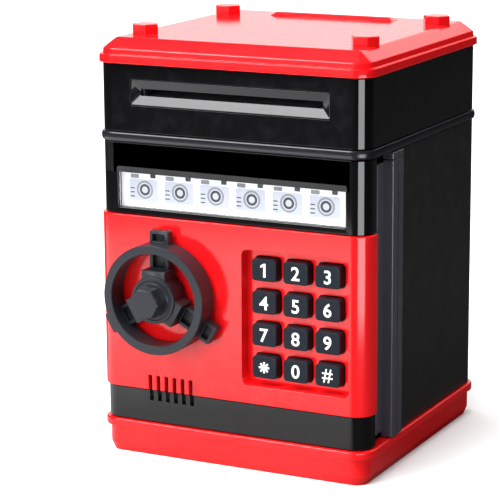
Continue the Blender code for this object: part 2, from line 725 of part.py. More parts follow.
def build_lid():
    """The red lid with its four bolt-shaped studs and the coin slot."""
    flange = LID_FLANGE_PROUD
    step = Z_LID + LID_FLANGE_HEIGHT
    shoulder = step + LID_BAND_HEIGHT
    lid = body_profile(
        (
            (flange - 0.6 * MM, Z_LID),
            (flange, Z_LID + 0.6 * MM),
            (flange, step - 0.6 * MM),
            (flange - 0.6 * MM, step),
            (0.0, step + 0.1 * MM),
            (0.0, shoulder),
            (-LID_BEVEL, Z_TOP),
        )
    )
    inner = -WALL - FIT_GAP
    hollow = body_profile(
        (
            (inner, Z_LID - WALL),
            (inner, shoulder - 0.5 * LID_WALL),
            (inner - LID_BEVEL + LID_WALL, Z_TOP - LID_WALL),
        )
    )
    cut(lid, hollow)
    for x in (-STUD_X, STUD_X):
        for y in (-STUD_Y, STUD_Y):
            base = Z_TOP - 0.5 * LID_WALL
            sections = (
                (STUD_ACROSS / 2, base),
                (STUD_ACROSS / 2, Z_TOP + STUD_HEIGHT - 0.5 * MM),
                (STUD_ACROSS / 2 - 0.5 * MM, Z_TOP + STUD_HEIGHT),
            )
            join(lid, loft([[(px, py, z) for px, py in circle(x, y, r, 6)] for r, z in sections]))
    foot = COIN_SLOT_Y + COIN_SLOT_WIDTH / 2
    root = Z_TOP - 0.5 * LID_WALL
    crest = Z_TOP + COIN_HOOD_HEIGHT
    hood = loft(
        [
            [
                (x, y, z)
                for x, y, z in (
                    (-long, foot + ease, height),
                    (long, foot + ease, height),
                    (long, foot + COIN_HOOD_DEPTH - ease, height),
                    (-long, foot + COIN_HOOD_DEPTH - ease, height),
                )
            ]
            for long, ease, height in (
                (COIN_HOOD_HALF + 4.0 * MM, -0.5 * MM, root),
                (COIN_HOOD_HALF, 2.6 * MM, crest),
            )
        ]
    )
    join(lid, hood)
    half = COIN_SLOT_LENGTH / 2
    wide = COIN_SLOT_WIDTH / 2
    slot = box(-half, half, COIN_SLOT_Y - wide, COIN_SLOT_Y + wide, Z_LID, crest + WALL)
    piece("top_lid", cut(lid, slot), "red_shell")

    chute_x = half + COIN_CHUTE_WALL
    chute_y = wide + COIN_CHUTE_WALL
    top = Z_TOP - LID_WALL - FIT_GAP
    bottom = Z_DECK + FIT_GAP
    chute = box(-chute_x, chute_x, COIN_SLOT_Y - chute_y, COIN_SLOT_Y + chute_y, bottom, top)
    bore = box(-half, half, COIN_SLOT_Y - wide, COIN_SLOT_Y + wide, bottom - WALL, top + WALL)
    piece("coin_chute", cut(chute, bore), "grey_plastic")


# ---------------------------------------------------------------- bill feeder
def build_feeder():
    """Feeder frame, motor, rollers and gears above the deck."""
    floor_z = Z_DECK + FIT_GAP
    cheek_top = Z_LID - CHEEK_TOP_BELOW_LID
    cheek_front = MOTOR_Y - MOTOR_RADIUS - 2.0 * MM
    cheek_back = BILL_DROP_FRONT - 2.0 * MM
    outer = CHEEK_X + CHEEK_THICKNESS
    frame = box(-outer, outer, cheek_front, cheek_back, floor_z, floor_z + 1.6 * MM)
    for x in (-outer, CHEEK_X):
        cheek = box(x, x + CHEEK_THICKNESS, cheek_front, cheek_back, floor_z + 0.5 * MM, cheek_top)
        join(frame, cheek)
    reach = outer + WALL
    holes = (
        rod_x(FEED_Y, FEED_Z, FEED_SHAFT_RADIUS + FIT_GAP, -reach, reach),
        rod_x(FEED_Y, PINCH_Z, PINCH_SHAFT_RADIUS + FIT_GAP, -reach, reach),
        rod_x(MOTOR_Y, MOTOR_Z, 1.0 * MM + FIT_GAP, CHEEK_X - WALL, reach),
    )
    piece("feeder_frame", cut(frame, *holes), "white_nylon")

    motor_x = CHEEK_X - FIT_GAP
    can = rod_x(MOTOR_Y, MOTOR_Z, MOTOR_RADIUS, motor_x - MOTOR_LENGTH, motor_x)
    for side in (-1, 1):
        near = MOTOR_Z + side * MOTOR_FLAT
        far = MOTOR_Z + side * 2 * MOTOR_RADIUS
        low, high = sorted((near, far))
        flat = box(
            motor_x - 2 * MOTOR_LENGTH,
            motor_x + WALL,
            MOTOR_Y - 2 * MOTOR_RADIUS,
            MOTOR_Y + 2 * MOTOR_RADIUS,
            low,
            high,
        )
        cut(can, flat)
    piece("feed_motor", can, "steel")

    axis = (0.0, FEED_Y, FEED_Z)
    shaft_left = -CHEEK_X - CHEEK_THICKNESS
    shaft_right = GEAR_X + GEAR_WIDTH
    shaft = rod_x(FEED_Y, FEED_Z, FEED_SHAFT_RADIUS, shaft_left, shaft_right)
    piece("feed_shaft", shaft, "steel", axis)
    for side, middle in zip(("left", "right"), FEED_RING_X):
        ring = rod_x(
            FEED_Y,
            FEED_Z,
            FEED_RING_RADIUS,
            middle - FEED_RING_WIDTH / 2,
            middle + FEED_RING_WIDTH / 2,
        )
        bore = rod_x(
            FEED_Y,
            FEED_Z,
            FEED_SHAFT_RADIUS + FIT_GAP,
            middle - FEED_RING_WIDTH,
            middle + FEED_RING_WIDTH,
        )
        piece(f"feed_roller_{side}", cut(ring, bore), "rubber", axis)
    gear = side_prism(
        gear_outline(FEED_Y, FEED_Z, GEAR_TEETH, MESH_ANGLE), GEAR_X, GEAR_X + GEAR_WIDTH
    )
    bore = rod_x(FEED_Y, FEED_Z, FEED_SHAFT_RADIUS + FIT_GAP, GEAR_X - WALL, shaft_right + WALL)
    piece("feed_gear", cut(gear, bore), "white_nylon", axis)

    half_tooth = math.pi / PINION_TEETH
    turn = MESH_ANGLE + math.pi + half_tooth
    pinion = side_prism(
        gear_outline(MOTOR_Y, MOTOR_Z, PINION_TEETH, turn), GEAR_X, GEAR_X + GEAR_WIDTH
    )
    stub = rod_x(MOTOR_Y, MOTOR_Z, 1.0 * MM, CHEEK_X + FIT_GAP, GEAR_X + GEAR_WIDTH / 2, 16)
    piece("motor_pinion", join(pinion, stub), "white_nylon", (0.0, MOTOR_Y, MOTOR_Z))

    pinch = rod_x(
        FEED_Y, PINCH_Z, PINCH_SHAFT_RADIUS, -CHEEK_X - CHEEK_THICKNESS, CHEEK_X + CHEEK_THICKNESS
    )
    for middle in FEED_RING_X:
        roll = rod_x(
            FEED_Y,
            PINCH_Z,
            PINCH_RADIUS,
            middle - FEED_RING_WIDTH / 2,
            middle + FEED_RING_WIDTH / 2,
        )
        join(pinch, roll)
    piece("pinch_roller", pinch, "rubber", (0.0, FEED_Y, PINCH_Z))

    board_z = Z_DECK + BOARD_PAD_HEIGHT + FIT_GAP
    board = box(
        -HALF_X + BOARD_INSET,
        HALF_X - BOARD_INSET,
        BILL_DROP_BACK + 2.0 * MM,
        BILL_DROP_BACK + 18.0 * MM,
        board_z,
        board_z + BOARD_THICKNESS,
    )
    chip = box(
        -8.0 * MM,
        8.0 * MM,
        BILL_DROP_BACK + 6.0 * MM,
        BILL_DROP_BACK + 14.0 * MM,
        board_z + 0.5 * BOARD_THICKNESS,
        board_z + BOARD_THICKNESS + 2.0 * MM,
    )
    piece("main_board", join(board, chip), "circuit_board")


# ---------------------------------------------------------------- door
def vent_slots(y0, y1):
    """Cutters for the speaker vents, from y0 back to y1."""
    slots = []
    for index in range(VENT_COUNT):
        x = VENT_FIRST_X + index * VENT_PITCH
        half = VENT_WIDTH / 2
        slots.append(box(x - half, x + half, y0, y1, VENT_BOTTOM, VENT_TOP))
    return slots


def pad_outline(margin):
    """The keypad recess outline in X and Z, grown by a margin."""
    return rounded_rectangle(
        PAD_X - PAD_WIDTH / 2 - margin,
        PAD_X + PAD_WIDTH / 2 + margin,
        PAD_Z - PAD_HEIGHT / 2 - margin,
        PAD_Z + PAD_HEIGHT / 2 + margin,
        PAD_CORNER + margin,
        4,
    )


def key_places():
    """Every key's name and the middle of its face."""
    for row, names in enumerate(KEY_NAMES):
        for column, name in enumerate(names):
            x = PAD_X + (column - 1) * KEY_PITCH_X
            z = PAD_Z + (1.5 - row) * KEY_PITCH_Z
            yield name, x, z


def key_outline(x, z, grow):
    """A key's outline in X and Z at its foot, grown by an amount."""
    half_x = KEY_WIDTH / 2 + grow
    half_z = KEY_HEIGHT / 2 + grow
    corner = max(KEY_CORNER + grow, 0.3 * MM)
    return rounded_rectangle(x - half_x, x + half_x, z - half_z, z + half_z, corner, 3)


def build_door_frame():
    """The black door shell that everything on the door is fixed to."""
    seat = FASCIA_PROUD - FASCIA_THICKNESS - FIT_GAP
    low = FASCIA_BOTTOM - FIT_GAP
    high = FASCIA_TOP + FIT_GAP
    frame = body_profile(
        (
            (0.0, DOOR_BOTTOM),
            (0.0, low),
            (seat, low),
            (seat, high),
            (0.0, high),
            (0.0, DOOR_TOP),
        )
    )
    hollow = body_profile(((-DOOR_WALL, DOOR_BOTTOM + WALL), (-DOOR_WALL, DOOR_TOP - WALL)))
    rear = box(-BODY_WIDTH, BODY_WIDTH, DOOR_BACK, BODY_DEPTH, -WALL, Z_TOP)
    window = box(
        -WINDOW_HALF, WINDOW_HALF, FRONT - WALL, DOOR_INSIDE + WALL, WINDOW_BOTTOM, WINDOW_TOP
    )
    pad = front_prism(pad_outline(PAD_WALL + FIT_GAP), FRONT - WALL, DOOR_INSIDE + WALL)
    bore = rod_y(WHEEL_X, WHEEL_Z, WHEEL_SHAFT_RADIUS + FIT_GAP, FRONT - WALL, DOOR_INSIDE + WALL)
    cut(frame, hollow, rear, window, pad, bore)
    cut(frame, *vent_slots(FRONT - WALL, DOOR_INSIDE + WALL))
    piece("door_frame", frame, "black_shell", HINGE_AXIS)


def build_fascia():
    """The red panel with the keypad recess, which wraps round the door's corners."""
    fascia = body_profile(((FASCIA_PROUD, FASCIA_BOTTOM), (FASCIA_PROUD, FASCIA_TOP)))
    inner = FASCIA_PROUD - FASCIA_THICKNESS
    hollow = body_profile(((inner, FASCIA_BOTTOM - WALL), (inner, FASCIA_TOP + WALL)))
    rear = box(-BODY_WIDTH, BODY_WIDTH, FRONT + FASCIA_RETURN, BODY_DEPTH, -WALL, Z_TOP)
    cut(fascia, hollow, rear)
    tub = front_prism(pad_outline(PAD_WALL), FASCIA_FRONT + 0.5 * FASCIA_THICKNESS, PAD_BACK_Y)
    join(fascia, tub)
    recess = front_prism(pad_outline(0.0), FASCIA_FRONT - WALL, PAD_FLOOR_Y)
    bore = rod_y(WHEEL_X, WHEEL_Z, WHEEL_SHAFT_RADIUS + FIT_GAP, FASCIA_FRONT - WALL, FRONT + WALL)
    cut(fascia, recess, bore)
    for _, x, z in key_places():
        hole = front_prism(key_outline(x, z, FIT_GAP), PAD_FLOOR_Y - WALL, PAD_BACK_Y + WALL)
        cut(fascia, hole)
    cut(fascia, *vent_slots(FASCIA_FRONT - WALL, FRONT + WALL))
    piece("door_fascia", fascia, "red_shell", HINGE_AXIS)


def build_window():
    """The clear lens and the printed card behind it."""
    lens_y = FRONT + LENS_RECESS
    lens = box(
        -WINDOW_HALF + FIT_GAP,
        WINDOW_HALF - FIT_GAP,
        lens_y,
        lens_y + LENS_THICKNESS,
        WINDOW_BOTTOM + FIT_GAP,
        WINDOW_TOP - FIT_GAP,
    )
    piece("window_lens", lens, "clear_lens", HINGE_AXIS)
    card_y = DOOR_INSIDE + FIT_GAP
    card = box(
        -WINDOW_HALF - CARD_MARGIN,
        WINDOW_HALF + CARD_MARGIN,
        card_y,
        card_y + CARD_THICKNESS,
        WINDOW_BOTTOM - CARD_MARGIN,
        WINDOW_TOP + CARD_MARGIN,
    )
    piece("picture_card", card, "printed_card", HINGE_AXIS)


def build_keys():
    """Twelve keys, the rubber mat that returns them and the contact board."""
    face_y = PAD_FLOOR_Y - KEY_STAND
    for name, x, z in key_places():
        sections = (
            (-KEY_DRAFT - 0.5 * MM, face_y),
            (-KEY_DRAFT, face_y + 0.5 * MM),
            (0.0, PAD_FLOOR_Y - FIT_GAP),
            (0.0, KEY_FLANGE_Y + 0.3 * MM),
        )
        loops = [
            [(px, y, pz) for px, pz in key_outline(x, z, grow)] for grow, y in reversed(sections)
        ]
        cap = loft(loops)
        flange = front_prism(
            key_outline(x, z, KEY_FLANGE), KEY_FLANGE_Y, KEY_FLANGE_Y + KEY_FLANGE_THICKNESS
        )
        piece(f"key_{name}", join(cap, flange), "key_plastic", (x, face_y, z))

    left = PAD_X - KEY_PITCH_X - KEY_WIDTH / 2 - KEY_FLANGE
    right = PAD_X + KEY_PITCH_X + KEY_WIDTH / 2 + KEY_FLANGE
    low = PAD_Z - 1.5 * KEY_PITCH_Z - KEY_HEIGHT / 2 - KEY_FLANGE
    high = PAD_Z + 1.5 * KEY_PITCH_Z + KEY_HEIGHT / 2 + KEY_FLANGE
    mat = box(left, right, MAT_Y, MAT_Y + MAT_THICKNESS, low, high)
    piece("keypad_mat", mat, "rubber", HINGE_AXIS)
    board = box(left, right, BOARD_Y, BOARD_Y + BOARD_THICKNESS, low, high)
    piece("keypad_board", board, "circuit_board", HINGE_AXIS)


def build_back_cover():
    """The inner cover that closes the back of the door."""
    low = DOOR_BOTTOM + BACK_COVER_MARGIN
    high = DOOR_TOP - BACK_COVER_MARGIN
    cover = box(COVER_LEFT, COVER_RIGHT, COVER_FRONT, COVER_BACK, low, high)
    wall = BACK_COVER_WALL
    hollow = box(
        COVER_LEFT + wall,
        COVER_RIGHT - wall,
        COVER_FRONT - WALL,
        COVER_BACK - wall,
        low + wall,
        high - wall,
    )
    bore = rod_y(WHEEL_X, WHEEL_Z, WHEEL_SHAFT_RADIUS + FIT_GAP, COVER_FRONT, COVER_BACK + WALL)
    piece("door_back_cover", cut(cover, hollow, bore), "black_shell", HINGE_AXIS)


def build_speaker():
    """The round speaker behind the vents."""
    x = VENT_FIRST_X + VENT_PITCH * (VENT_COUNT - 1) / 2
    z = DOOR_BOTTOM + WALL + SPEAKER_RADIUS + 1.0 * MM
    y = DOOR_INSIDE + FIT_GAP
    sections = (
        (SPEAKER_RADIUS, y),
        (SPEAKER_RADIUS, y + 1.5 * MM),
        (0.62 * SPEAKER_RADIUS, y + 0.6 * SPEAKER_DEPTH),
        (0.62 * SPEAKER_RADIUS, y + SPEAKER_DEPTH),
    )
    loops = [[(px, sy, pz) for px, pz in circle(x, z, r, 32)] for r, sy in reversed(sections)]
    piece("speaker", loft(loops), "steel", HINGE_AXIS)


def build_hinge():
    """The hinge bar on the door, its knuckle on the deck and the two pins."""
    axis = HINGE_AXIS
    bar_top = Z_BEAD - FIT_GAP - KNUCKLE_HEIGHT - FIT_GAP
    front = axis.y - HINGE_BAR_FRONT
    back = axis.y + HINGE_BAR_BACK
    inner = axis.x - HINGE_BAR_INNER
    bar_plan = rounded_rectangle(inner, BAR_OUTER, front, back, 0.8 * MM, 3)
    bar = plan_prism(bar_plan, DOOR_BOTTOM, bar_top)
    leaf_outer = HALF_X - HINGE_LEAF_INSET
    leaf_front = DOOR_BACK - 4.0 * MM
    leaf_low = DOOR_BOTTOM + WALL + FIT_GAP
    leaf_high = bar_top - 1.0 * MM
    leaf = box(
        leaf_outer - HINGE_LEAF_THICKNESS,
        leaf_outer,
        DOOR_BACK + FIT_GAP,
        front + 1.5 * MM,
        leaf_low,
        leaf_high,
    )
    tab_outer = HALF_X - DOOR_WALL - FIT_GAP
    tab = box(
        tab_outer - 1.0 * MM,
        tab_outer,
        leaf_front,
        DOOR_BACK + FIT_GAP + 1.0 * MM,
        leaf_low,
        leaf_high,
    )
    join(bar, leaf, tab)
    hole = HINGE_PIN_RADIUS + FIT_GAP
    deep = HINGE_PIN_LENGTH
    cut(
        bar,
        rod_z(axis.x, axis.y, hole, bar_top - deep, bar_top + WALL),
        rod_z(axis.x, axis.y, hole, DOOR_BOTTOM - WALL, DOOR_BOTTOM + deep),
    )
    piece("hinge_bar", bar, "black_shell", axis)

    knuckle = plan_prism(bar_plan, bar_top + FIT_GAP, Z_BEAD - FIT_GAP)
    cut(knuckle, rod_z(axis.x, axis.y, hole, bar_top - WALL, Z_BEAD - 1.0 * MM))
    piece("hinge_knuckle", knuckle, "black_shell")
    upper = rod_z(axis.x, axis.y, HINGE_PIN_RADIUS, bar_top - deep + FIT_GAP, Z_BEAD - 1.4 * MM)
    piece("hinge_pin_upper", upper, "steel")
    pin_foot = BASE_HEIGHT - BASE_LIP_HEIGHT + 2 * FIT_GAP
    lower = rod_z(
        axis.x, axis.y, HINGE_PIN_RADIUS, pin_foot, DOOR_BOTTOM + deep - FIT_GAP
    )
    piece("hinge_pin_lower", lower, "steel")


# ---------------------------------------------------------------- handwheel and lock
def spoke_outline(angle, near, far, half):
    """A spoke's outline in X and Z, from near to far along an angle."""
    along = Vector((math.cos(angle), math.sin(angle)))
    across = Vector((-along.y, along.x))
    middle = Vector((WHEEL_X, WHEEL_Z))
    return [
        tuple(middle + along * reach + across * side)
        for reach, side in ((near, -half), (far, -half), (far, half), (near, half))
    ]


def build_handwheel():
    """The round handwheel with three spokes that run out into lugs."""
    axis = (WHEEL_X, WHEEL_FRONT, WHEEL_Z)
    wheel = rod_y(WHEEL_X, WHEEL_Z, RIM_RADIUS, WHEEL_FRONT, WHEEL_BACK, 64)
    hollow = rod_y(
        WHEEL_X, WHEEL_Z, RIM_RADIUS - RIM_WIDTH, WHEEL_FRONT - WALL, WHEEL_BACK + WALL, 64
    )
    cut(wheel, hollow)
    join(wheel, rod_y(WHEEL_X, WHEEL_Z, HUB_RADIUS, WHEEL_FRONT, WHEEL_BACK, 40))
    for index in range(3):
        angle = math.radians(90 + 120 * index)
        tip = RIM_RADIUS + LUG_REACH
        spoke = front_prism(
            spoke_outline(angle, 0.6 * HUB_RADIUS, tip, SPOKE_WIDTH / 2),
            WHEEL_FRONT + SPOKE_SETBACK,
            WHEEL_BACK - 0.1 * MM,
        )
        join(wheel, spoke)
        for near, far in (
            (HUB_RADIUS + 0.6 * MM, RIM_RADIUS - RIM_WIDTH - 0.3 * MM),
            (RIM_RADIUS + 0.2 * MM, tip - SPOKE_RAIL),
        ):
            groove = front_prism(
                spoke_outline(angle, near, far, SPOKE_WIDTH / 2 - SPOKE_RAIL),
                WHEEL_FRONT - WALL,
                WHEEL_FRONT + SPOKE_SETBACK + SPOKE_RECESS,
            )
            cut(wheel, groove)
    stub_hole = rod_y(
        WHEEL_X,
        WHEEL_Z,
        BOLT_STUB_RADIUS + FIT_GAP,
        WHEEL_FRONT - WALL,
        WHEEL_FRONT + BOLT_STUB_LENGTH,
        24,
    )
    shaft_hole = rod_y(
        WHEEL_X, WHEEL_Z, WHEEL_SHAFT_RADIUS + FIT_GAP, SHAFT_FRONT - FIT_GAP, WHEEL_BACK + WALL, 24
    )
    cut(wheel, stub_hole, shaft_hole)
    piece("handwheel", wheel, "grey_plastic", axis)

    bolt_back = WHEEL_FRONT - FIT_GAP
    bolt_front = bolt_back - BOLT_HEIGHT
    sections = (
        (BOLT_ACROSS / 2 - 0.6 * MM, bolt_front),
        (BOLT_ACROSS / 2, bolt_front + 0.6 * MM),
        (BOLT_ACROSS / 2, bolt_back),
    )
    bolt = loft(
        [[(x, y, z) for x, z in circle(WHEEL_X, WHEEL_Z, r, 6)] for r, y in reversed(sections)]
    )
    stub = rod_y(
        WHEEL_X,
        WHEEL_Z,
        BOLT_STUB_RADIUS,
        bolt_back - 1.0 * MM,
        WHEEL_FRONT + BOLT_STUB_LENGTH - FIT_GAP,
        20,
    )
    piece("wheel_bolt", join(bolt, stub), "grey_plastic", axis)

    shaft = rod_y(WHEEL_X, WHEEL_Z, WHEEL_SHAFT_RADIUS, SHAFT_FRONT, SHAFT_BACK, 24)
    piece("wheel_shaft", shaft, "steel", axis)


def build_lock():
    """Lock disc, latch arm, solenoid and its plunger."""
    axis = (WHEEL_X, WHEEL_FRONT, WHEEL_Z)
    grip = WHEEL_SHAFT_RADIUS + FIT_GAP
    disc_back = LOCK_DISC_Y + LOCK_DISC_THICKNESS
    disc = rod_y(WHEEL_X, WHEEL_Z, LOCK_DISC_RADIUS, LOCK_DISC_Y, disc_back, 40)
    bore = rod_y(WHEEL_X, WHEEL_Z, grip, LOCK_DISC_Y - WALL, disc_back + WALL, 24)
    notch_half = PLUNGER_RADIUS + 2 * FIT_GAP
    floor = LOCK_DISC_RADIUS - LOCK_NOTCH_DEPTH
    far = LOCK_DISC_RADIUS + WALL
    top = box(
        WHEEL_X - notch_half,
        WHEEL_X + notch_half,
        LOCK_DISC_Y - WALL,
        disc_back + WALL,
        WHEEL_Z + floor,
        WHEEL_Z + far,
    )
    side = box(
        WHEEL_X + floor,
        WHEEL_X + far,
        LOCK_DISC_Y - WALL,
        disc_back + WALL,
        WHEEL_Z - notch_half,
        WHEEL_Z + notch_half,
    )
    piece("lock_disc", cut(disc, bore, top, side), "white_nylon", axis)

    hub = rod_y(WHEEL_X, WHEEL_Z, ARM_HUB_RADIUS, ARM_HUB_FRONT, ARM_BACK, 32)
    arm = box(
        WHEEL_X - ARM_WIDTH / 2,
        WHEEL_X + ARM_WIDTH / 2,
        ARM_Y,
        ARM_BACK - 0.05 * MM,
        WHEEL_Z,
        WHEEL_Z + ARM_LENGTH,
    )
    join(hub, arm)
    cut(hub, rod_y(WHEEL_X, WHEEL_Z, grip, ARM_HUB_FRONT - WALL, ARM_BACK + WALL, 24))
    piece("latch_arm", hub, "steel", axis)

    coil = box(
        SOLENOID_X - SOLENOID_WIDTH / 2,
        SOLENOID_X + SOLENOID_WIDTH / 2,
        PLUNGER_Y - SOLENOID_DEPTH / 2,
        PLUNGER_Y + SOLENOID_DEPTH / 2,
        SOLENOID_BOTTOM,
        SOLENOID_BOTTOM + SOLENOID_HEIGHT,
    )
    room = rod_z(
        SOLENOID_X,
        PLUNGER_Y,
        PLUNGER_RADIUS + FIT_GAP,
        SOLENOID_BOTTOM - WALL,
        PLUNGER_TIP + PLUNGER_LENGTH + FIT_GAP,
    )
    piece("solenoid", cut(coil, room), "steel", HINGE_AXIS)
    plunger = rod_z(
        SOLENOID_X, PLUNGER_Y, PLUNGER_RADIUS, PLUNGER_TIP, PLUNGER_TIP + PLUNGER_LENGTH
    )
    piece("solenoid_plunger", plunger, "steel", (SOLENOID_X, PLUNGER_Y, PLUNGER_TIP))


def main():
    """Build every piece of the money box."""
    clear_scene()
    build_base()
    build_cells()
    build_casing()
    build_deck()
    build_upper_housing()
    build_lid()
    build_feeder()
    build_door_frame()
    build_fascia()
    build_window()
    build_keys()
    build_back_cover()
    build_speaker()
    build_hinge()
    build_handwheel()
    build_lock()


main()
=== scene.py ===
"""Toy cash machine money box: the finished look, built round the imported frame.

Metres, +Z up, the front faces -Y. Each sub-assembly is a class that holds its sizes, builds its
pieces and dresses them. Places come from the frame's own boxes.
"""
import json
import logging
import math
from dataclasses import dataclass, field
from enum import Enum
from typing import Callable, Iterable, Sequence

import bmesh
import bpy
from mathutils import Matrix, Vector


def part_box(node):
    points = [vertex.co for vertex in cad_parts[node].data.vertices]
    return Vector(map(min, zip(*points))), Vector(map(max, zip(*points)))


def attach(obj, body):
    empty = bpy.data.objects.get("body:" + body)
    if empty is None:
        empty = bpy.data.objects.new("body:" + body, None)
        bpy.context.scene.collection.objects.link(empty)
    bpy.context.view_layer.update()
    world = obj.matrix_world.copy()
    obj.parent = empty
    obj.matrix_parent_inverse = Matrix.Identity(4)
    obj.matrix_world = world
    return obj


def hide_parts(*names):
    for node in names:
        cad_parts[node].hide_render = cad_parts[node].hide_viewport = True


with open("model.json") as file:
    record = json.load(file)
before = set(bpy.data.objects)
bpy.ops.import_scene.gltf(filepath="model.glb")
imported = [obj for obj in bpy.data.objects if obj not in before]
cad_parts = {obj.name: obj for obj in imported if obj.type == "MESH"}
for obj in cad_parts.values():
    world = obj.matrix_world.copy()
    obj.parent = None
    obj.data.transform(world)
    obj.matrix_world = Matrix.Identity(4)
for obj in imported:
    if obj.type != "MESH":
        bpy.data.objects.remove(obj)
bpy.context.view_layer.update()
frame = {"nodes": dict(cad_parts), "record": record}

MM = 0.001
OVERCUT = 1 * MM         # how far a cutter runs past the face it cuts
SMOOTH_BELOW = math.radians(38)
HOME = {
    node: body
    for body, nodes in frame["record"]["behaviour"]["bodies"].items()
    for node in nodes
}

Flat = list[tuple[float, float]]
Outline = Callable[[float], Flat]
Colour = tuple[float, float, float]
Place = tuple[float, float, float]
Span = tuple[float, float]

log = logging.getLogger("money_box")


# ---------------------------------------------------------------- shapes
class Axis(Enum):
    """The way an outline is carried, with the two axes it is drawn in."""

    X = "x"
    Y = "y"
    Z = "z"

    def point(self, flat: tuple[float, float], along: float) -> Place:
        """A flat point set at a distance along the axis."""
        a, b = flat
        if self is Axis.X:
            return (along, a, b)
        if self is Axis.Y:
            return (a, along, b)
        return (a, b, along)


class Join(Enum):
    """How one solid acts on another."""

    ADD = "UNION"
    CUT = "DIFFERENCE"


def rounded(x0: float, x1: float, y0: float, y1: float, radius: float, steps: int = 8) -> Outline:
    """A rectangle with round corners that can grow.

    Args:
        x0, x1, y0, y1: the sides.
        radius: the corner radius, which grows with the rectangle.
        steps: segments round each corner.

    Returns:
        A function from an amount of growth to the outline's points.
    """

    def outline(grow: float) -> Flat:
        """The points, grown by an amount."""
        r = max(radius + grow, 0.05 * MM)
        left, right, low, high = x0 - grow, x1 + grow, y0 - grow, y1 + grow
        points = []
        for cx, cy, start in (
            (left + r, low + r, 2),
            (right - r, low + r, 3),
            (right - r, high - r, 0),
            (left + r, high - r, 1),
        ):
            for step in range(steps + 1):
                angle = math.pi / 2 * (start + step / steps)
                points.append((cx + r * math.cos(angle), cy + r * math.sin(angle)))
        return points

    return outline


def polygon(cx: float, cy: float, radius: float, sides: int, turn: float = 0.0) -> Outline:
    """A regular polygon, or a circle when it has many sides, that can grow."""

    def outline(grow: float) -> Flat:
        """The points, grown by an amount."""
        r = radius + grow
        return [
            (
                cx + r * math.cos(turn + math.tau * k / sides),
                cy + r * math.sin(turn + math.tau * k / sides),
            )
            for k in range(sides)
        ]

    return outline


def fixed(points: Flat) -> Outline:
    """An outline that stays as it is."""
    return lambda grow: points


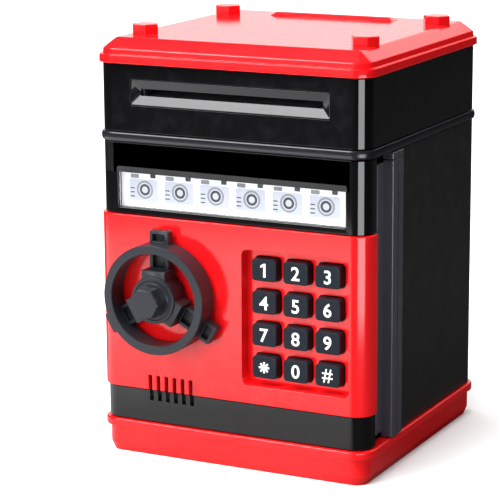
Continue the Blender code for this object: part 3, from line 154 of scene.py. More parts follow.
class Solid:
    """A closed mesh in the making."""

    def __init__(self, edit: bmesh.types.BMesh) -> None:
        """Take over a bmesh and turn its faces outwards."""
        bmesh.ops.recalc_face_normals(edit, faces=edit.faces)
        self.mesh = bpy.data.meshes.new("solid")
        edit.to_mesh(self.mesh)
        edit.free()

    @classmethod
    def loft(cls, loops: Sequence[Sequence[Place]]) -> "Solid":
        """A solid through loops of points with capped ends."""
        edit = bmesh.new()
        rings = [[edit.verts.new(point) for point in loop] for loop in loops]
        edit.faces.new(list(reversed(rings[0])))
        for lower, upper in zip(rings, rings[1:]):
            for i in range(len(lower)):
                j = (i + 1) % len(lower)
                edit.faces.new((lower[i], lower[j], upper[j], upper[i]))
        edit.faces.new(rings[-1])
        return cls(edit)

    @classmethod
    def sections(cls, outline: Outline, axis: Axis, steps: Iterable[tuple[float, float]]) -> "Solid":
        """A solid through (growth, distance) sections of one outline."""
        return cls.loft([[axis.point(p, along) for p in outline(grow)] for grow, along in steps])

    @classmethod
    def prism(
        cls, outline: Outline, axis: Axis, low: float, high: float, edge: float = 0.0, steps: int = 4
    ) -> "Solid":
        """An outline carried along an axis, with round edges at both ends.

        Args:
            outline: the outline, which shrinks towards a rounded end.
            axis: the way it is carried.
            low, high: where it starts and stops.
            edge: the radius of the end edges.
            steps: segments round each edge.

        Returns:
            The closed solid.
        """
        if edge <= 0.0:
            return cls.sections(outline, axis, ((0.0, low), (0.0, high)))
        turns = [math.pi / 2 * k / steps for k in range(steps + 1)]
        rise = [(edge * (math.sin(t) - 1), low + edge * (1 - math.cos(t))) for t in turns]
        fall = [(edge * (math.cos(t) - 1), high - edge * (1 - math.sin(t))) for t in turns]
        return cls.sections(outline, axis, rise + fall)

    @classmethod
    def mouth(
        cls, outline: Outline, axis: Axis, face: float, end: float, edge: float, steps: int = 3
    ) -> "Solid":
        """A cutter whose opening has a round lip where it meets a face.

        Args:
            outline: the hole's outline, which grows at the lip.
            axis: the way it cuts.
            face: where the surface is.
            end: where the cut stops.
            edge: the radius of the lip.
            steps: segments round the lip.

        Returns:
            The cutter.
        """
        way = 1.0 if end > face else -1.0
        turns = [math.pi / 2 * (1 - k / steps) for k in range(steps + 1)]
        lip = [
            (edge * (1 - math.cos(t)), face + way * edge * (1 - math.sin(t))) for t in turns
        ]
        out = (edge, face - way * OVERCUT)
        return cls.sections(outline, axis, [out] + lip + [(0.0, end)])

    @classmethod
    def ring(cls, profile: Flat, x: float, z: float, steps: int = 96) -> "Solid":
        """A closed (radius, y) profile turned round an axis along Y."""
        edit = bmesh.new()
        rows = [
            [
                edit.verts.new((x + r * math.cos(t), y, z + r * math.sin(t)))
                for r, y in profile
            ]
            for t in (math.tau * k / steps for k in range(steps))
        ]
        count = len(profile)
        for k in range(steps):
            near, far = rows[k], rows[(k + 1) % steps]
            for i in range(count):
                j = (i + 1) % count
                edit.faces.new((near[i], near[j], far[j], far[i]))
        return cls(edit)

    @classmethod
    def box(cls, x0: float, x1: float, y0: float, y1: float, z0: float, z1: float) -> "Solid":
        """A block between two corners."""
        plan = fixed([(x0, y0), (x1, y0), (x1, y1), (x0, y1)])
        return cls.prism(plan, Axis.Z, z0, z1)

    @classmethod
    def together(cls, parts: Sequence["Solid"]) -> "Solid":
        """Separate solids held in one mesh."""
        edit = bmesh.new()
        for part in parts:
            edit.from_mesh(part.mesh)
        return cls(edit)

    def combine(self, how: Join, tools: Sequence["Solid"]) -> "Solid":
        """Add tools to this solid, or cut them from it."""
        for tool in tools:
            mine = bpy.data.objects.new("mine", self.mesh)
            other = bpy.data.objects.new("other", tool.mesh)
            for item in (mine, other):
                bpy.context.scene.collection.objects.link(item)
            step = mine.modifiers.new("combine", "BOOLEAN")
            step.object = other
            step.operation = how.value
            step.solver = "EXACT"
            graph = bpy.context.evaluated_depsgraph_get()
            self.mesh = bpy.data.meshes.new_from_object(mine.evaluated_get(graph))
            for item in (mine, other):
                bpy.data.objects.remove(item, do_unlink=True)
        return self

    def add(self, *tools: "Solid") -> "Solid":
        """This solid with the tools joined on."""
        return self.combine(Join.ADD, tools)

    def cut(self, *tools: "Solid") -> "Solid":
        """This solid with the tools cut away."""
        return self.combine(Join.CUT, tools)

    def moved(self, matrix: Matrix) -> "Solid":
        """This solid put through a matrix."""
        self.mesh.transform(matrix)
        return self


# ---------------------------------------------------------------- shared surface effects
class EffectTree:
    """Builds one shader node group with named inputs and outputs."""

    def __init__(self, name: str, inputs: dict[str, float], outputs: Sequence[str]) -> None:
        """Open a group with float inputs and outputs."""
        self.tree = bpy.data.node_groups.new(name, "ShaderNodeTree")
        for label, value in inputs.items():
            socket = self.tree.interface.new_socket(
                name=label, in_out="INPUT", socket_type="NodeSocketFloat"
            )
            socket.default_value = value
        for label in outputs:
            self.tree.interface.new_socket(
                name=label, in_out="OUTPUT", socket_type="NodeSocketFloat"
            )
        self.given = self.tree.nodes.new("NodeGroupInput")
        self.result = self.tree.nodes.new("NodeGroupOutput")
        self.place = self.tree.nodes.new("ShaderNodeTexCoord").outputs["Object"]

    def link(self, source: bpy.types.NodeSocket, target: bpy.types.NodeSocket) -> None:
        """Join two sockets."""
        self.tree.links.new(source, target)

    def feed(self, socket: bpy.types.NodeSocket, value: object) -> None:
        """Set a socket to a number or join it to another socket."""
        if isinstance(value, bpy.types.NodeSocket):
            self.link(value, socket)
        else:
            socket.default_value = value

    def math(self, operation: str, *values: object) -> bpy.types.NodeSocket:
        """The result of a Math node on numbers or sockets."""
        node = self.tree.nodes.new("ShaderNodeMath")
        node.operation = operation
        for socket, value in zip(node.inputs, values):
            self.feed(socket, value)
        return node.outputs[0]

    def noise(
        self, scale: object, detail: float = 3.0, stretch: Place = (1, 1, 1)
    ) -> bpy.types.NodeSocket:
        """A noise value from the object's own coordinates."""
        shape = self.tree.nodes.new("ShaderNodeMapping")
        shape.inputs["Scale"].default_value = stretch
        self.link(self.place, shape.inputs["Vector"])
        node = self.tree.nodes.new("ShaderNodeTexNoise")
        node.inputs["Detail"].default_value = detail
        self.feed(node.inputs["Scale"], scale)
        self.link(shape.outputs[0], node.inputs["Vector"])
        return node.outputs["Fac"]

    def ramp(self, value: object, low: float, high: float) -> bpy.types.NodeSocket:
        """A smooth step from 0 at low to 1 at high."""
        node = self.tree.nodes.new("ShaderNodeMapRange")
        node.interpolation_type = "SMOOTHSTEP"
        node.inputs["From Min"].default_value = low
        node.inputs["From Max"].default_value = high
        self.feed(node.inputs["Value"], value)
        return node.outputs["Result"]

    def end(self, **outputs: object) -> bpy.types.NodeTree:
        """Join the named results to the group's outputs."""
        for label, value in outputs.items():
            self.feed(self.result.inputs[label], value)
        return self.tree


class Effect(Enum):
    """The surface effects that more than one finish uses."""

    MOULDED_SKIN = "moulded_skin"
    COLOUR_DRIFT = "colour_drift"
    EDGE_WEAR = "edge_wear"
    SETTLED_DUST = "settled_dust"
    RUB_MARKS = "rub_marks"

    def tree(self) -> bpy.types.NodeTree:
        """The effect's node group, built on first use."""
        found = bpy.data.node_groups.get(self.value)
        return found or getattr(self, "_" + self.value)()

    def _moulded_skin(self) -> bpy.types.NodeTree:
        """Slow ripples and a fine grain, as a moulding tool leaves them."""
        group = EffectTree(self.value, {"Scale": 1400.0, "Grain": 0.5, "Ripple": 0.5}, ["Height"])
        grain = group.noise(group.given.outputs["Scale"], 2.0)
        fine = group.math("MULTIPLY", grain, group.given.outputs["Grain"])
        slow = group.math("MULTIPLY", group.noise(55.0, 1.0), group.given.outputs["Ripple"])
        return group.end(Height=group.math("ADD", fine, slow))

    def _colour_drift(self) -> bpy.types.NodeTree:
        """A value near one that drifts slowly over the surface."""
        group = EffectTree(self.value, {"Scale": 18.0, "Amount": 0.08}, ["Value"])
        centred = group.math("SUBTRACT", group.noise(group.given.outputs["Scale"], 4.0), 0.5)
        drift = group.math("MULTIPLY", centred, group.given.outputs["Amount"])
        return group.end(Value=group.math("ADD", drift, 1.0))

    def _edge_wear(self) -> bpy.types.NodeTree:
        """A mask of the rubbed outer edges."""
        group = EffectTree(self.value, {"Amount": 0.4, "Scale": 160.0}, ["Mask"])
        edge = group.tree.nodes.new("ShaderNodeNewGeometry").outputs["Pointiness"]
        sharp = group.ramp(edge, 0.53, 0.62)
        patchy = group.ramp(group.noise(group.given.outputs["Scale"], 4.0), 0.42, 0.72)
        worn = group.math("MULTIPLY", sharp, patchy)
        return group.end(Mask=group.math("MULTIPLY", worn, group.given.outputs["Amount"]))

    def _settled_dust(self) -> bpy.types.NodeTree:
        """A mask of fine dust on faces that look up."""
        group = EffectTree(self.value, {"Amount": 0.1, "Scale": 240.0}, ["Mask"])
        split = group.tree.nodes.new("ShaderNodeSeparateXYZ")
        group.link(group.tree.nodes.new("ShaderNodeNewGeometry").outputs["Normal"], split.inputs[0])
        level = group.ramp(split.outputs["Z"], 0.6, 0.98)
        specks = group.ramp(group.noise(group.given.outputs["Scale"], 5.0), 0.5, 0.8)
        mask = group.math("MULTIPLY", level, specks)
        return group.end(Mask=group.math("MULTIPLY", mask, group.given.outputs["Amount"]))

    def _rub_marks(self) -> bpy.types.NodeTree:
        """A mask of faint handling marks in two directions."""
        group = EffectTree(self.value, {"Amount": 0.5, "Scale": 60.0}, ["Mask"])
        across = group.ramp(group.noise(group.given.outputs["Scale"], 3.0, (1, 1, 14)), 0.58, 0.72)
        along = group.ramp(group.noise(group.given.outputs["Scale"], 3.0, (12, 5, 1)), 0.6, 0.74)
        mask = group.math("MAXIMUM", across, along)
        return group.end(Mask=group.math("MULTIPLY", mask, group.given.outputs["Amount"]))


class Surface:
    """One material's node tree, with its Principled shader at the end."""

    def __init__(self, name: str) -> None:
        """Open a material."""
        self.material = bpy.data.materials.new(name)
        self.material.use_nodes = True
        self.nodes = self.material.node_tree.nodes
        self.links = self.material.node_tree.links
        self.shader = self.nodes["Principled BSDF"]

    def constant(self, **values: float) -> None:
        """Set the shader's own sockets, with spaces written as underscores."""
        for label, value in values.items():
            self.shader.inputs[label.replace("_", " ")].default_value = value

    def effect(self, effect: Effect, output: str, **values: float) -> bpy.types.NodeSocket:
        """One output of a shared effect placed with its own values."""
        node = self.nodes.new("ShaderNodeGroup")
        node.node_tree = effect.tree()
        for label, value in values.items():
            node.inputs[label].default_value = value
        return node.outputs[output]

    def mix(self, blend: str, factor: object, a: object, b: object) -> bpy.types.NodeSocket:
        """A colour mix of two colours or sockets."""
        node = self.nodes.new("ShaderNodeMix")
        node.data_type = "RGBA"
        node.blend_type = blend
        for index, value in ((0, factor), (6, a), (7, b)):
            if isinstance(value, bpy.types.NodeSocket):
                self.links.new(value, node.inputs[index])
            elif isinstance(value, tuple):
                node.inputs[index].default_value = (*value, 1.0)
            else:
                node.inputs[index].default_value = value
        return node.outputs[2]

    def math(self, operation: str, *values: object) -> bpy.types.NodeSocket:
        """The result of a Math node on numbers or sockets."""
        node = self.nodes.new("ShaderNodeMath")
        node.operation = operation
        for socket, value in zip(node.inputs, values):
            if isinstance(value, bpy.types.NodeSocket):
                self.links.new(value, socket)
            else:
                socket.default_value = value
        return node.outputs[0]

    def place(self) -> bpy.types.NodeSocket:
        """The piece's own coordinates."""
        return self.nodes.new("ShaderNodeTexCoord").outputs["Object"]

    def bump(self, height: bpy.types.NodeSocket, distance: float) -> None:
        """Feed a height into the shader's normal."""
        node = self.nodes.new("ShaderNodeBump")
        node.inputs["Strength"].default_value = 1.0
        node.inputs["Distance"].default_value = distance
        self.links.new(height, node.inputs["Height"])
        self.links.new(node.outputs[0], self.shader.inputs["Normal"])

    def feed(self, label: str, socket: bpy.types.NodeSocket) -> None:
        """Join a socket to one of the shader's inputs."""
        self.links.new(socket, self.shader.inputs[label])


# ---------------------------------------------------------------- finishes
@dataclass(frozen=True)
class Finish:
    """A moulded plastic, and the base of the other finishes."""

    name: str
    slot: str
    colour: Colour
    roughness: float = 0.2
    worn: Colour = (0.5, 0.5, 0.5)
    wear: float = 0.25
    drift: float = 0.08
    dust: float = 0.05
    marks: float = 0.01
    grain: float = 0.2
    ripple: float = 0.2
    grain_scale: float = 1400.0
    relief: float = 0.05 * MM
    specular: float = 0.5

    def material(self) -> bpy.types.Material:
        """The finish's material, made on first use."""
        return bpy.data.materials.get(self.name) or self.make()

    def make(self) -> bpy.types.Material:
        """Build the material."""
        surface = Surface(self.name)
        self.body(surface, self.colour)
        return surface.material

    def body(self, surface: Surface, colour: object) -> None:
        """Wire the shared effects round a base colour.

        Args:
            surface: the material to wire.
            colour: the base colour, or a socket that gives it.
        """
        drift = surface.effect(Effect.COLOUR_DRIFT, "Value", Amount=self.drift)
        tinted = surface.mix("MULTIPLY", 1.0, colour, drift)
        wear = surface.effect(Effect.EDGE_WEAR, "Mask", Amount=self.wear)
        rubbed = surface.mix("MIX", wear, tinted, self.worn)
        dust = surface.effect(Effect.SETTLED_DUST, "Mask", Amount=self.dust)
        surface.feed("Base Color", surface.mix("MIX", dust, rubbed, (0.62, 0.6, 0.56)))
        marks = surface.effect(Effect.RUB_MARKS, "Mask", Amount=self.marks)
        rough = surface.math("ADD", marks, self.roughness)
        surface.feed("Roughness", surface.math("ADD", rough, dust))
        surface.bump(
            surface.effect(
                Effect.MOULDED_SKIN, "Height", Scale=self.grain_scale, Grain=self.grain, Ripple=self.ripple
            ),
            self.relief,
        )
        surface.constant(Specular_IOR_Level=self.specular, IOR=1.5)


@dataclass(frozen=True)
class Metal(Finish):
    """Plated or plain steel with a brushed grain."""

    def make(self) -> bpy.types.Material:
        """Build the material."""
        surface = Surface(self.name)
        self.body(surface, self.colour)
        surface.constant(Metallic=1.0)
        return surface.material


@dataclass(frozen=True)
class ClearPlastic(Finish):
    """A clear moulded window."""

    def make(self) -> bpy.types.Material:
        """Build the material."""
        surface = Surface(self.name)
        marks = surface.effect(Effect.RUB_MARKS, "Mask", Amount=self.marks)
        surface.feed("Roughness", surface.math("ADD", marks, self.roughness))
        drift = surface.effect(Effect.COLOUR_DRIFT, "Value", Amount=self.drift)
        surface.feed("Base Color", surface.mix("MULTIPLY", 1.0, self.colour, drift))
        surface.bump(
            surface.effect(Effect.MOULDED_SKIN, "Height", Grain=self.grain, Ripple=self.ripple), self.relief
        )
        surface.constant(Transmission_Weight=1.0, IOR=1.46, Metallic=0.0)
        return surface.material


@dataclass(frozen=True)
class PrintedCard(Finish):
    """Card stock with a fine printed dot screen, with painted light: the print also glows by an emission of
    its own colour, though the card is no lamp.
    """

    dots: float = 900.0
    dot_size: float = 0.55
    dot_strength: float = 0.5
    ink: Colour = (0.72, 0.74, 0.80)
    painted_glow: float = 0.0

    def make(self) -> bpy.types.Material:
        """Build the material."""
        surface = Surface(self.name)
        cells = surface.nodes.new("ShaderNodeTexVoronoi")
        cells.inputs["Scale"].default_value = self.dots
        surface.links.new(surface.place(), cells.inputs["Vector"])
        tone = surface.nodes.new("ShaderNodeTexNoise")
        tone.inputs["Scale"].default_value = 120.0
        surface.links.new(surface.place(), tone.inputs["Vector"])
        size = surface.math("MULTIPLY", tone.outputs["Fac"], self.dot_size)
        dot = surface.math("LESS_THAN", cells.outputs["Distance"], size)
        strength = surface.math("MULTIPLY", dot, self.dot_strength)
        printed = surface.mix("MIX", strength, self.colour, self.ink)
        self.body(surface, printed)
        # painted light: the print glows in its own colour to stand in for the light that the clear lens
        # keeps off the card
        surface.feed("Emission Color", printed)
        surface.constant(Emission_Strength=self.painted_glow)
        return surface.material


@dataclass(frozen=True)
class Board(Finish):
    """Circuit board laminate with tinned tracks."""

    track: Colour = (0.10, 0.42, 0.16)

    def make(self) -> bpy.types.Material:
        """Build the material."""
        surface = Surface(self.name)
        brick = surface.nodes.new("ShaderNodeTexBrick")
        brick.inputs["Scale"].default_value = 120.0
        brick.inputs["Mortar Size"].default_value = 0.03
        surface.links.new(surface.place(), brick.inputs["Vector"])
        printed = surface.mix("MIX", brick.outputs["Fac"], self.colour, self.track)
        self.body(surface, printed)
        return surface.material


@dataclass(frozen=True)
class CellWrap(Finish):
    """A cell's printed foil sleeve with a band of another colour."""

    band: Colour = (0.55, 0.42, 0.12)
    band_from: float = 10.0 * MM

    def make(self) -> bpy.types.Material:
        """Build the material."""
        surface = Surface(self.name)
        split = surface.nodes.new("ShaderNodeSeparateXYZ")
        surface.links.new(surface.place(), split.inputs[0])
        past = surface.math("GREATER_THAN", split.outputs["X"], self.band_from)
        self.body(surface, surface.mix("MIX", past, self.colour, self.band))
        surface.constant(Metallic=0.35)
        return surface.material


RED = Finish(
    "gloss_red", "red_shell", (0.86, 0.006, 0.009), 0.14, worn=(0.90, 0.07, 0.06), wear=0.15, drift=0.05,
    dust=0.012,
)
BLACK = Finish(
    "gloss_black", "black_shell", (0.0013, 0.0013, 0.0018), 0.08, worn=(0.03, 0.03, 0.035), wear=0.12,
    dust=0.008, marks=0.004, ripple=0.1, grain=0.05,
)
SATIN_BLACK = Finish(
    "satin_black", "black_shell", (0.013, 0.013, 0.013), 0.40, worn=(0.06, 0.06, 0.065), wear=0.15,
    grain=0.8, dust=0.008,
)
TRIM = Finish(
    "bead_black", "black_trim", (0.010, 0.010, 0.014), 0.24, worn=(0.10, 0.10, 0.12), dust=0.01, wear=0.15,
)
BAR_GREY = Finish(
    "hinge_grey", "black_trim", (0.060, 0.060, 0.080), 0.34, worn=(0.16, 0.16, 0.18), dust=0.01, wear=0.15,
)
BEZEL_GREY = Finish(
    "bezel_black", "grey_plastic", (0.004, 0.004, 0.006), 0.16, worn=(0.05, 0.05, 0.06), wear=0.12,
    dust=0.008, ripple=0.1,
)
WHEEL = Finish(
    "wheel_slate", "wheel_plastic", (0.0175, 0.019, 0.024), 0.36, worn=(0.14, 0.15, 0.17), wear=0.3,
    grain=0.6, dust=0.01, specular=0.3,
)
KEYCAP = Finish(
    "key_slate", "key_plastic", (0.0095, 0.0133, 0.019), 0.45, worn=(0.05, 0.06, 0.07), wear=0.2,
    grain=0.8, dust=0.008, specular=0.14,
)
LEGEND = Finish(
    "legend_white", "white_nylon", (0.92, 0.92, 0.92), 0.45, worn=(0.7, 0.7, 0.7), drift=0.03,
)
LENS = ClearPlastic(
    "window_clear", "clear_lens", (0.97, 0.98, 0.99), 0.03, drift=0.01, grain=0.05, ripple=0.3, marks=0.03,
)
# the card and its pale ink carry painted light: an emission that brightens them though they are no lamps
CARD = PrintedCard("card_print_painted_glow", "printed_card", (0.95, 0.95, 0.97), 0.5, painted_glow=0.4)
INK_MID = Finish("card_ink_mid", "printed_card", (0.36, 0.38, 0.43), 0.5, drift=0.5, wear=0.0)
INK_DARK = Finish("card_ink_dark", "printed_card", (0.07, 0.075, 0.085), 0.5, drift=0.5, wear=0.0)
# painted light: the pale ink glows like the card beneath it
INK_PALE = PrintedCard(
    "card_ink_pale_painted_glow", "printed_card", (0.60, 0.62, 0.70), 0.5, drift=0.3, wear=0.0, painted_glow=0.3,
)
RUBBER = Finish(
    "soft_rubber", "rubber", (0.022, 0.022, 0.023), 0.75, worn=(0.08, 0.08, 0.08), grain=1.2, dust=0.08,
)
STEEL = Metal(
    "plated_steel", "plated_steel", (0.66, 0.66, 0.68), 0.28, worn=(0.8, 0.8, 0.8), drift=0.15, marks=0.2,
)
SCREW = Metal(
    "zinc_screw", "screw_steel", (0.56, 0.55, 0.50), 0.34, worn=(0.7, 0.7, 0.68), drift=0.2, marks=0.2,
)
NYLON = Finish(
    "white_nylon", "white_nylon", (0.74, 0.73, 0.69), 0.42, worn=(0.85, 0.85, 0.82), grain=0.8,
)
INNER_GREY = Finish("inner_grey", "grey_plastic", (0.09, 0.09, 0.105), 0.38, worn=(0.2, 0.2, 0.2))
LAMINATE = Board("green_laminate", "circuit_board", (0.025, 0.20, 0.06), 0.4)
SLEEVE = CellWrap("cell_sleeve", "cell_wrap", (0.05, 0.09, 0.25), 0.3)


# ---------------------------------------------------------------- pieces
def show(
    name: str, solid: Solid, finish: Finish, stands_for: str, hides: bool = True
) -> bpy.types.Object:
    """Make a solid a finished piece of the object.

    Args:
        name: the piece's name.
        solid: its shape.
        finish: its finish.
        stands_for: the frame's node that it belongs to, which gives its body.
        hides: whether that node is hidden and this piece shown in its place.

    Returns:
        The new object.
    """
    mesh = solid.mesh
    mesh.name = name
    mesh.materials.clear()
    mesh.materials.append(finish.material())
    mesh.polygons.foreach_set("material_index", [0] * len(mesh.polygons))
    mesh.shade_smooth()
    mesh.set_sharp_from_angle(angle=SMOOTH_BELOW)
    item = bpy.data.objects.new(name, mesh)
    bpy.context.scene.collection.objects.link(item)
    even = item.modifiers.new("even_light", "WEIGHTED_NORMAL")
    even.keep_sharp = True
    even.weight = 90
    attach(item, HOME[stands_for])
    if hides:
        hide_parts(stands_for)
    log.info("%s: %d faces, rides on %s", name, len(mesh.polygons), HOME[stands_for])
    return item


@dataclass
class Cabinet:
    """The main sizes that every sub-assembly shares, read from the frame."""

    corner: float = 7.5 * MM
    wall: float = 2.3 * MM
    gap: float = 0.3 * MM
    corner_steps: int = 14
    half_x: float = field(init=False)
    half_y: float = field(init=False)
    front: float = field(init=False)

    def __post_init__(self) -> None:
        """Take the half width and half depth from the casing."""
        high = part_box("casing_shell")[1]
        self.half_x = high.x
        self.half_y = high.y
        self.front = -high.y

    def plan(self) -> Outline:
        """The cabinet's plan outline."""
        return rounded(
            -self.half_x, self.half_x, -self.half_y, self.half_y, self.corner, self.corner_steps
        )

    def shell(self, steps: Iterable[tuple[float, float]]) -> Solid:
        """A solid of the plan through (proud, height) sections."""
        return Solid.sections(self.plan(), Axis.Z, steps)

    def behind(self, y: float, low: float, high: float) -> Solid:
        """A cutter for everything behind a depth."""
        wide = 2 * self.half_x
        return Solid.box(-wide, wide, y, wide, low, high)


def arc(cx: float, cy: float, radius: float, start: float, stop: float, steps: int) -> Flat:
    """Points along an arc, with its angles in degrees."""
    return [
        (
            cx + radius * math.cos(math.radians(start + (stop - start) * k / steps)),
            cy + radius * math.sin(math.radians(start + (stop - start) * k / steps)),
        )
        for k in range(steps + 1)
    ]


@dataclass
class Plinth:
    """The red base with its chamfered foot and its lip."""

    cabinet: Cabinet
    inset: float = 0.3 * MM
    foot_chamfer: float = 1.6 * MM
    foot_height: float = 4.0 * MM
    lip_proud: float = 1.7 * MM
    lip_height: float = 3.7 * MM
    floor: float = 2.0 * MM
    screw_radius: float = 2.9 * MM
    screw_lip: float = 0.4 * MM
    pin_radius: float = 1.5 * MM
    hatch_corner: float = 0.5 * MM
    hatch_lip: float = 0.3 * MM
    foot_edge: float = 0.6 * MM
    nook: float = 0.35 * MM
    edge: float = 0.9 * MM

    def build(self) -> None:
        """Build and dress the base tray."""
        low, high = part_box("base_tray")
        top = high.z
        lip = top - self.lip_height
        side = -self.inset
        soft = self.foot_edge
        bend = arc(side - soft, self.foot_height - 0.1 * MM, soft, -22, 0, 3)
        sections = (
            [(side - self.foot_chamfer, 0.0)]
            + bend
            + arc(side + self.nook, lip - self.nook, self.nook, 180, 90, 3)
            + arc(self.lip_proud - soft, lip + soft, soft, -90, 0, 4)
            + arc(self.lip_proud - self.edge, top - self.edge, self.edge, 0, 90, 5)
        )
        tray = self.cabinet.shell(sections)
        inner = side - self.foot_chamfer - self.cabinet.wall
        hollow = self.cabinet.shell(((inner, self.floor), (inner, top + self.floor)))
        hatch_low, hatch_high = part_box("battery_cover")
        gap = self.cabinet.gap
        hatch = Solid.mouth(
            rounded(
                hatch_low.x - gap, hatch_high.x + gap, hatch_low.y - gap, hatch_high.y + gap,
                self.hatch_corner, 3,
            ),
            Axis.Z, low.z, self.floor * 2, self.hatch_lip,
        )
        pin_low, pin_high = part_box("hinge_pin_lower")
        pin = (pin_low + pin_high) / 2
        pin_hole = Solid.prism(
            polygon(pin.x, pin.y, self.pin_radius, 24), Axis.Z, pin_low.z - gap, top * 2
        )
        holes = []
        for corner in ("fl", "fr", "bl", "br"):
            screw = sum(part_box(f"base_screw_{corner}"), Vector()) / 2
            outline = polygon(screw.x, screw.y, self.screw_radius, 32)
            holes.append(Solid.mouth(outline, Axis.Z, low.z, self.floor * 2, self.screw_lip))
        tray.cut(hollow, hatch, pin_hole, Solid.together(holes))
        show("plinth", tray, RED, "base_tray")


@dataclass
class Casing:
    """The black walls round the money compartment, and the bead above them."""

    cabinet: Cabinet
    bead_proud: float = 1.2 * MM
    deck: float = 2.3 * MM
    bill_half: float = 44.0 * MM
    bill_clear: float = 2.0 * MM
    bill_corner: float = 1.5 * MM
    coin_clear: float = 1.5 * MM
    coin_corner: float = 1.0 * MM
    pad_x: float = 45.5 * MM
    pad_radius: float = 2.5 * MM
    pocket_clear: float = 1.3 * MM
    pocket_side: float = 1.0 * MM
    pocket_corner: float = 0.4 * MM
    edge: float = 0.35 * MM

    def build(self) -> None:
        """Build and dress the casing and the deck."""
        self._walls()
        self._bead()

    def _walls(self) -> None:
        """The walls, with the pocket for the hinge."""
        low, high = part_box("casing_shell")
        cabinet = self.cabinet
        bar_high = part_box("hinge_bar")[1]
        pocket_back = bar_high.y + self.cabinet.gap + self.pocket_clear
        pocket_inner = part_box("door_back_cover")[1].x - self.pocket_side
        wall = cabinet.wall
        walls = Solid.prism(cabinet.plan(), Axis.Z, low.z, high.z, self.edge, 3)
        room = Solid.prism(
            rounded(
                -cabinet.half_x + wall, cabinet.half_x - wall, -cabinet.half_y + wall,
                cabinet.half_y - wall, cabinet.corner - wall, cabinet.corner_steps,
            ),
            Axis.Z, low.z - wall, high.z + wall,
        )
        wide = 2 * cabinet.half_x
        open_front = Solid.box(-wide, wide, -wide, low.y, -wall, wide)
        cover_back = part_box("door_back_cover")[1].y + cabinet.gap
        post = Solid.box(
            pocket_inner - wall, wide / 2 - 0.2 * MM, cover_back, pocket_back + wall, low.z, high.z
        )
        pocket = Solid.prism(
            rounded(pocket_inner, wide, cover_back - wide, pocket_back, self.pocket_corner, 3),
            Axis.Z, low.z - wall, high.z + wall,
        )
        walls.cut(room, open_front).add(post).cut(pocket)
        show("casing_walls", walls, SATIN_BLACK, "casing_shell")

    def _bead(self) -> None:
        """The deck, whose edge shows outside as a round bead."""
        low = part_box("mid_deck")[0]
        rise = (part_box("upper_housing")[0].z - self.cabinet.gap) - low.z
        middle = low.z + rise / 2
        steps = 10
        profile = [
            (
                self.bead_proud * math.sqrt(max(math.sin(math.pi * k / steps), 0.0)),
                middle - rise / 2 * math.cos(math.pi * k / steps),
            )
            for k in range(steps + 1)
        ]
        deck = self.cabinet.shell(profile)
        inner = -self.cabinet.wall - self.cabinet.gap
        top = low.z + self.deck
        well = self.cabinet.shell(((inner, top), (inner, top + 2 * rise)))
        guide_low, guide_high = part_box("coin_chute")
        frame_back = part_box("feeder_frame")[1].y
        board_low, board_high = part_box("main_board")
        bill = Solid.prism(
            rounded(
                -self.bill_half, self.bill_half, frame_back + self.bill_clear,
                board_low.y - self.bill_clear, self.bill_corner,
            ),
            Axis.Z, low.z - rise, top + rise,
        )
        clear = self.coin_clear
        coin = Solid.prism(
            rounded(
                guide_low.x - clear, guide_high.x + clear, guide_low.y - clear,
                guide_high.y + clear, self.coin_corner,
            ),
            Axis.Z, low.z - rise, top + rise,
        )
        pads = [
            Solid.prism(
                polygon(x, (board_low.y + board_high.y) / 2, self.pad_radius, 24),
                Axis.Z, top - 0.5 * MM, board_low.z - self.cabinet.gap, 0.2 * MM,
            )
            for x in (-self.pad_x, self.pad_x)
        ]
        deck.cut(well, bill, coin).add(*pads)
        show("deck_bead", deck, TRIM, "mid_deck")


@dataclass
class UpperHousing:
    """The black housing of the bill feeder and the slot's surround."""

    cabinet: Cabinet
    slot_half: float = 43.9 * MM
    slot_rise: float = 1.6 * MM
    slot_depth: float = 2.0 * MM
    rim: float = 0.3 * MM
    flange: float = 2.0 * MM
    flange_thickness: float = 1.2 * MM
    edge: float = 0.4 * MM

    def build(self) -> None:
        """Build and dress the housing and the surround."""
        low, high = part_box("upper_housing")
        housing = Solid.prism(self.cabinet.plan(), Axis.Z, low.z, high.z, self.edge, 3)
        inner = -self.cabinet.wall
        housing.cut(self.cabinet.shell(((inner, low.z - OVERCUT), (inner, high.z + OVERCUT))))
        face_low, face_high = self._face()
        front = self.cabinet.front
        gap = self.cabinet.gap
        opening = Solid.mouth(
            rounded(face_low.x - gap, face_high.x + gap, face_low.z - gap, face_high.z + gap, 0.5 * MM, 3),
            Axis.Y, front, front + 3 * self.cabinet.wall, 0.15 * MM,
        )
        show("feeder_housing", housing.cut(opening), BLACK, "upper_housing")
        self._surround(face_low, face_high)

    def _face(self) -> tuple[Vector, Vector]:
        """The surround's face, without its hidden flange."""
        low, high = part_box("bill_bezel")
        grow = Vector((self.flange, 0.0, self.flange))
        return low + grow, high - grow

    def _surround(self, low: Vector, high: Vector) -> None:
        """The frame whose faces slope in to the slot."""
        front = self.cabinet.front
        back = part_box("bill_bezel")[1].y
        face = Solid.prism(
            rounded(low.x, high.x, low.z, high.z, self.edge, 3), Axis.Y, front, back, 0.2 * MM, 3
        )
        behind = front + self.cabinet.wall + self.cabinet.gap
        flange = Solid.prism(
            rounded(
                low.x - self.flange, high.x + self.flange, low.z - self.flange,
                high.z + self.flange, 1.0 * MM, 3,
            ),
            Axis.Y, behind, behind + self.flange_thickness,
        )
        middle = (low.z + high.z) / 2
        mouth_x, mouth_z = high.x - self.rim, high.z - middle - self.rim
        funnel = Solid.loft(
            [
                [(x, y, middle + z) for x, z in ((-sx, -sz), (sx, -sz), (sx, sz), (-sx, sz))]
                for sx, sz, y in (
                    (mouth_x, mouth_z, front - OVERCUT),
                    (mouth_x, mouth_z, front + 0.1 * MM),
                    (self.slot_half, self.slot_rise, front + self.slot_depth),
                    (self.slot_half, self.slot_rise, back + OVERCUT),
                )
            ]
        )
        show("slot_surround", face.add(flange).cut(funnel), BEZEL_GREY, "bill_bezel")


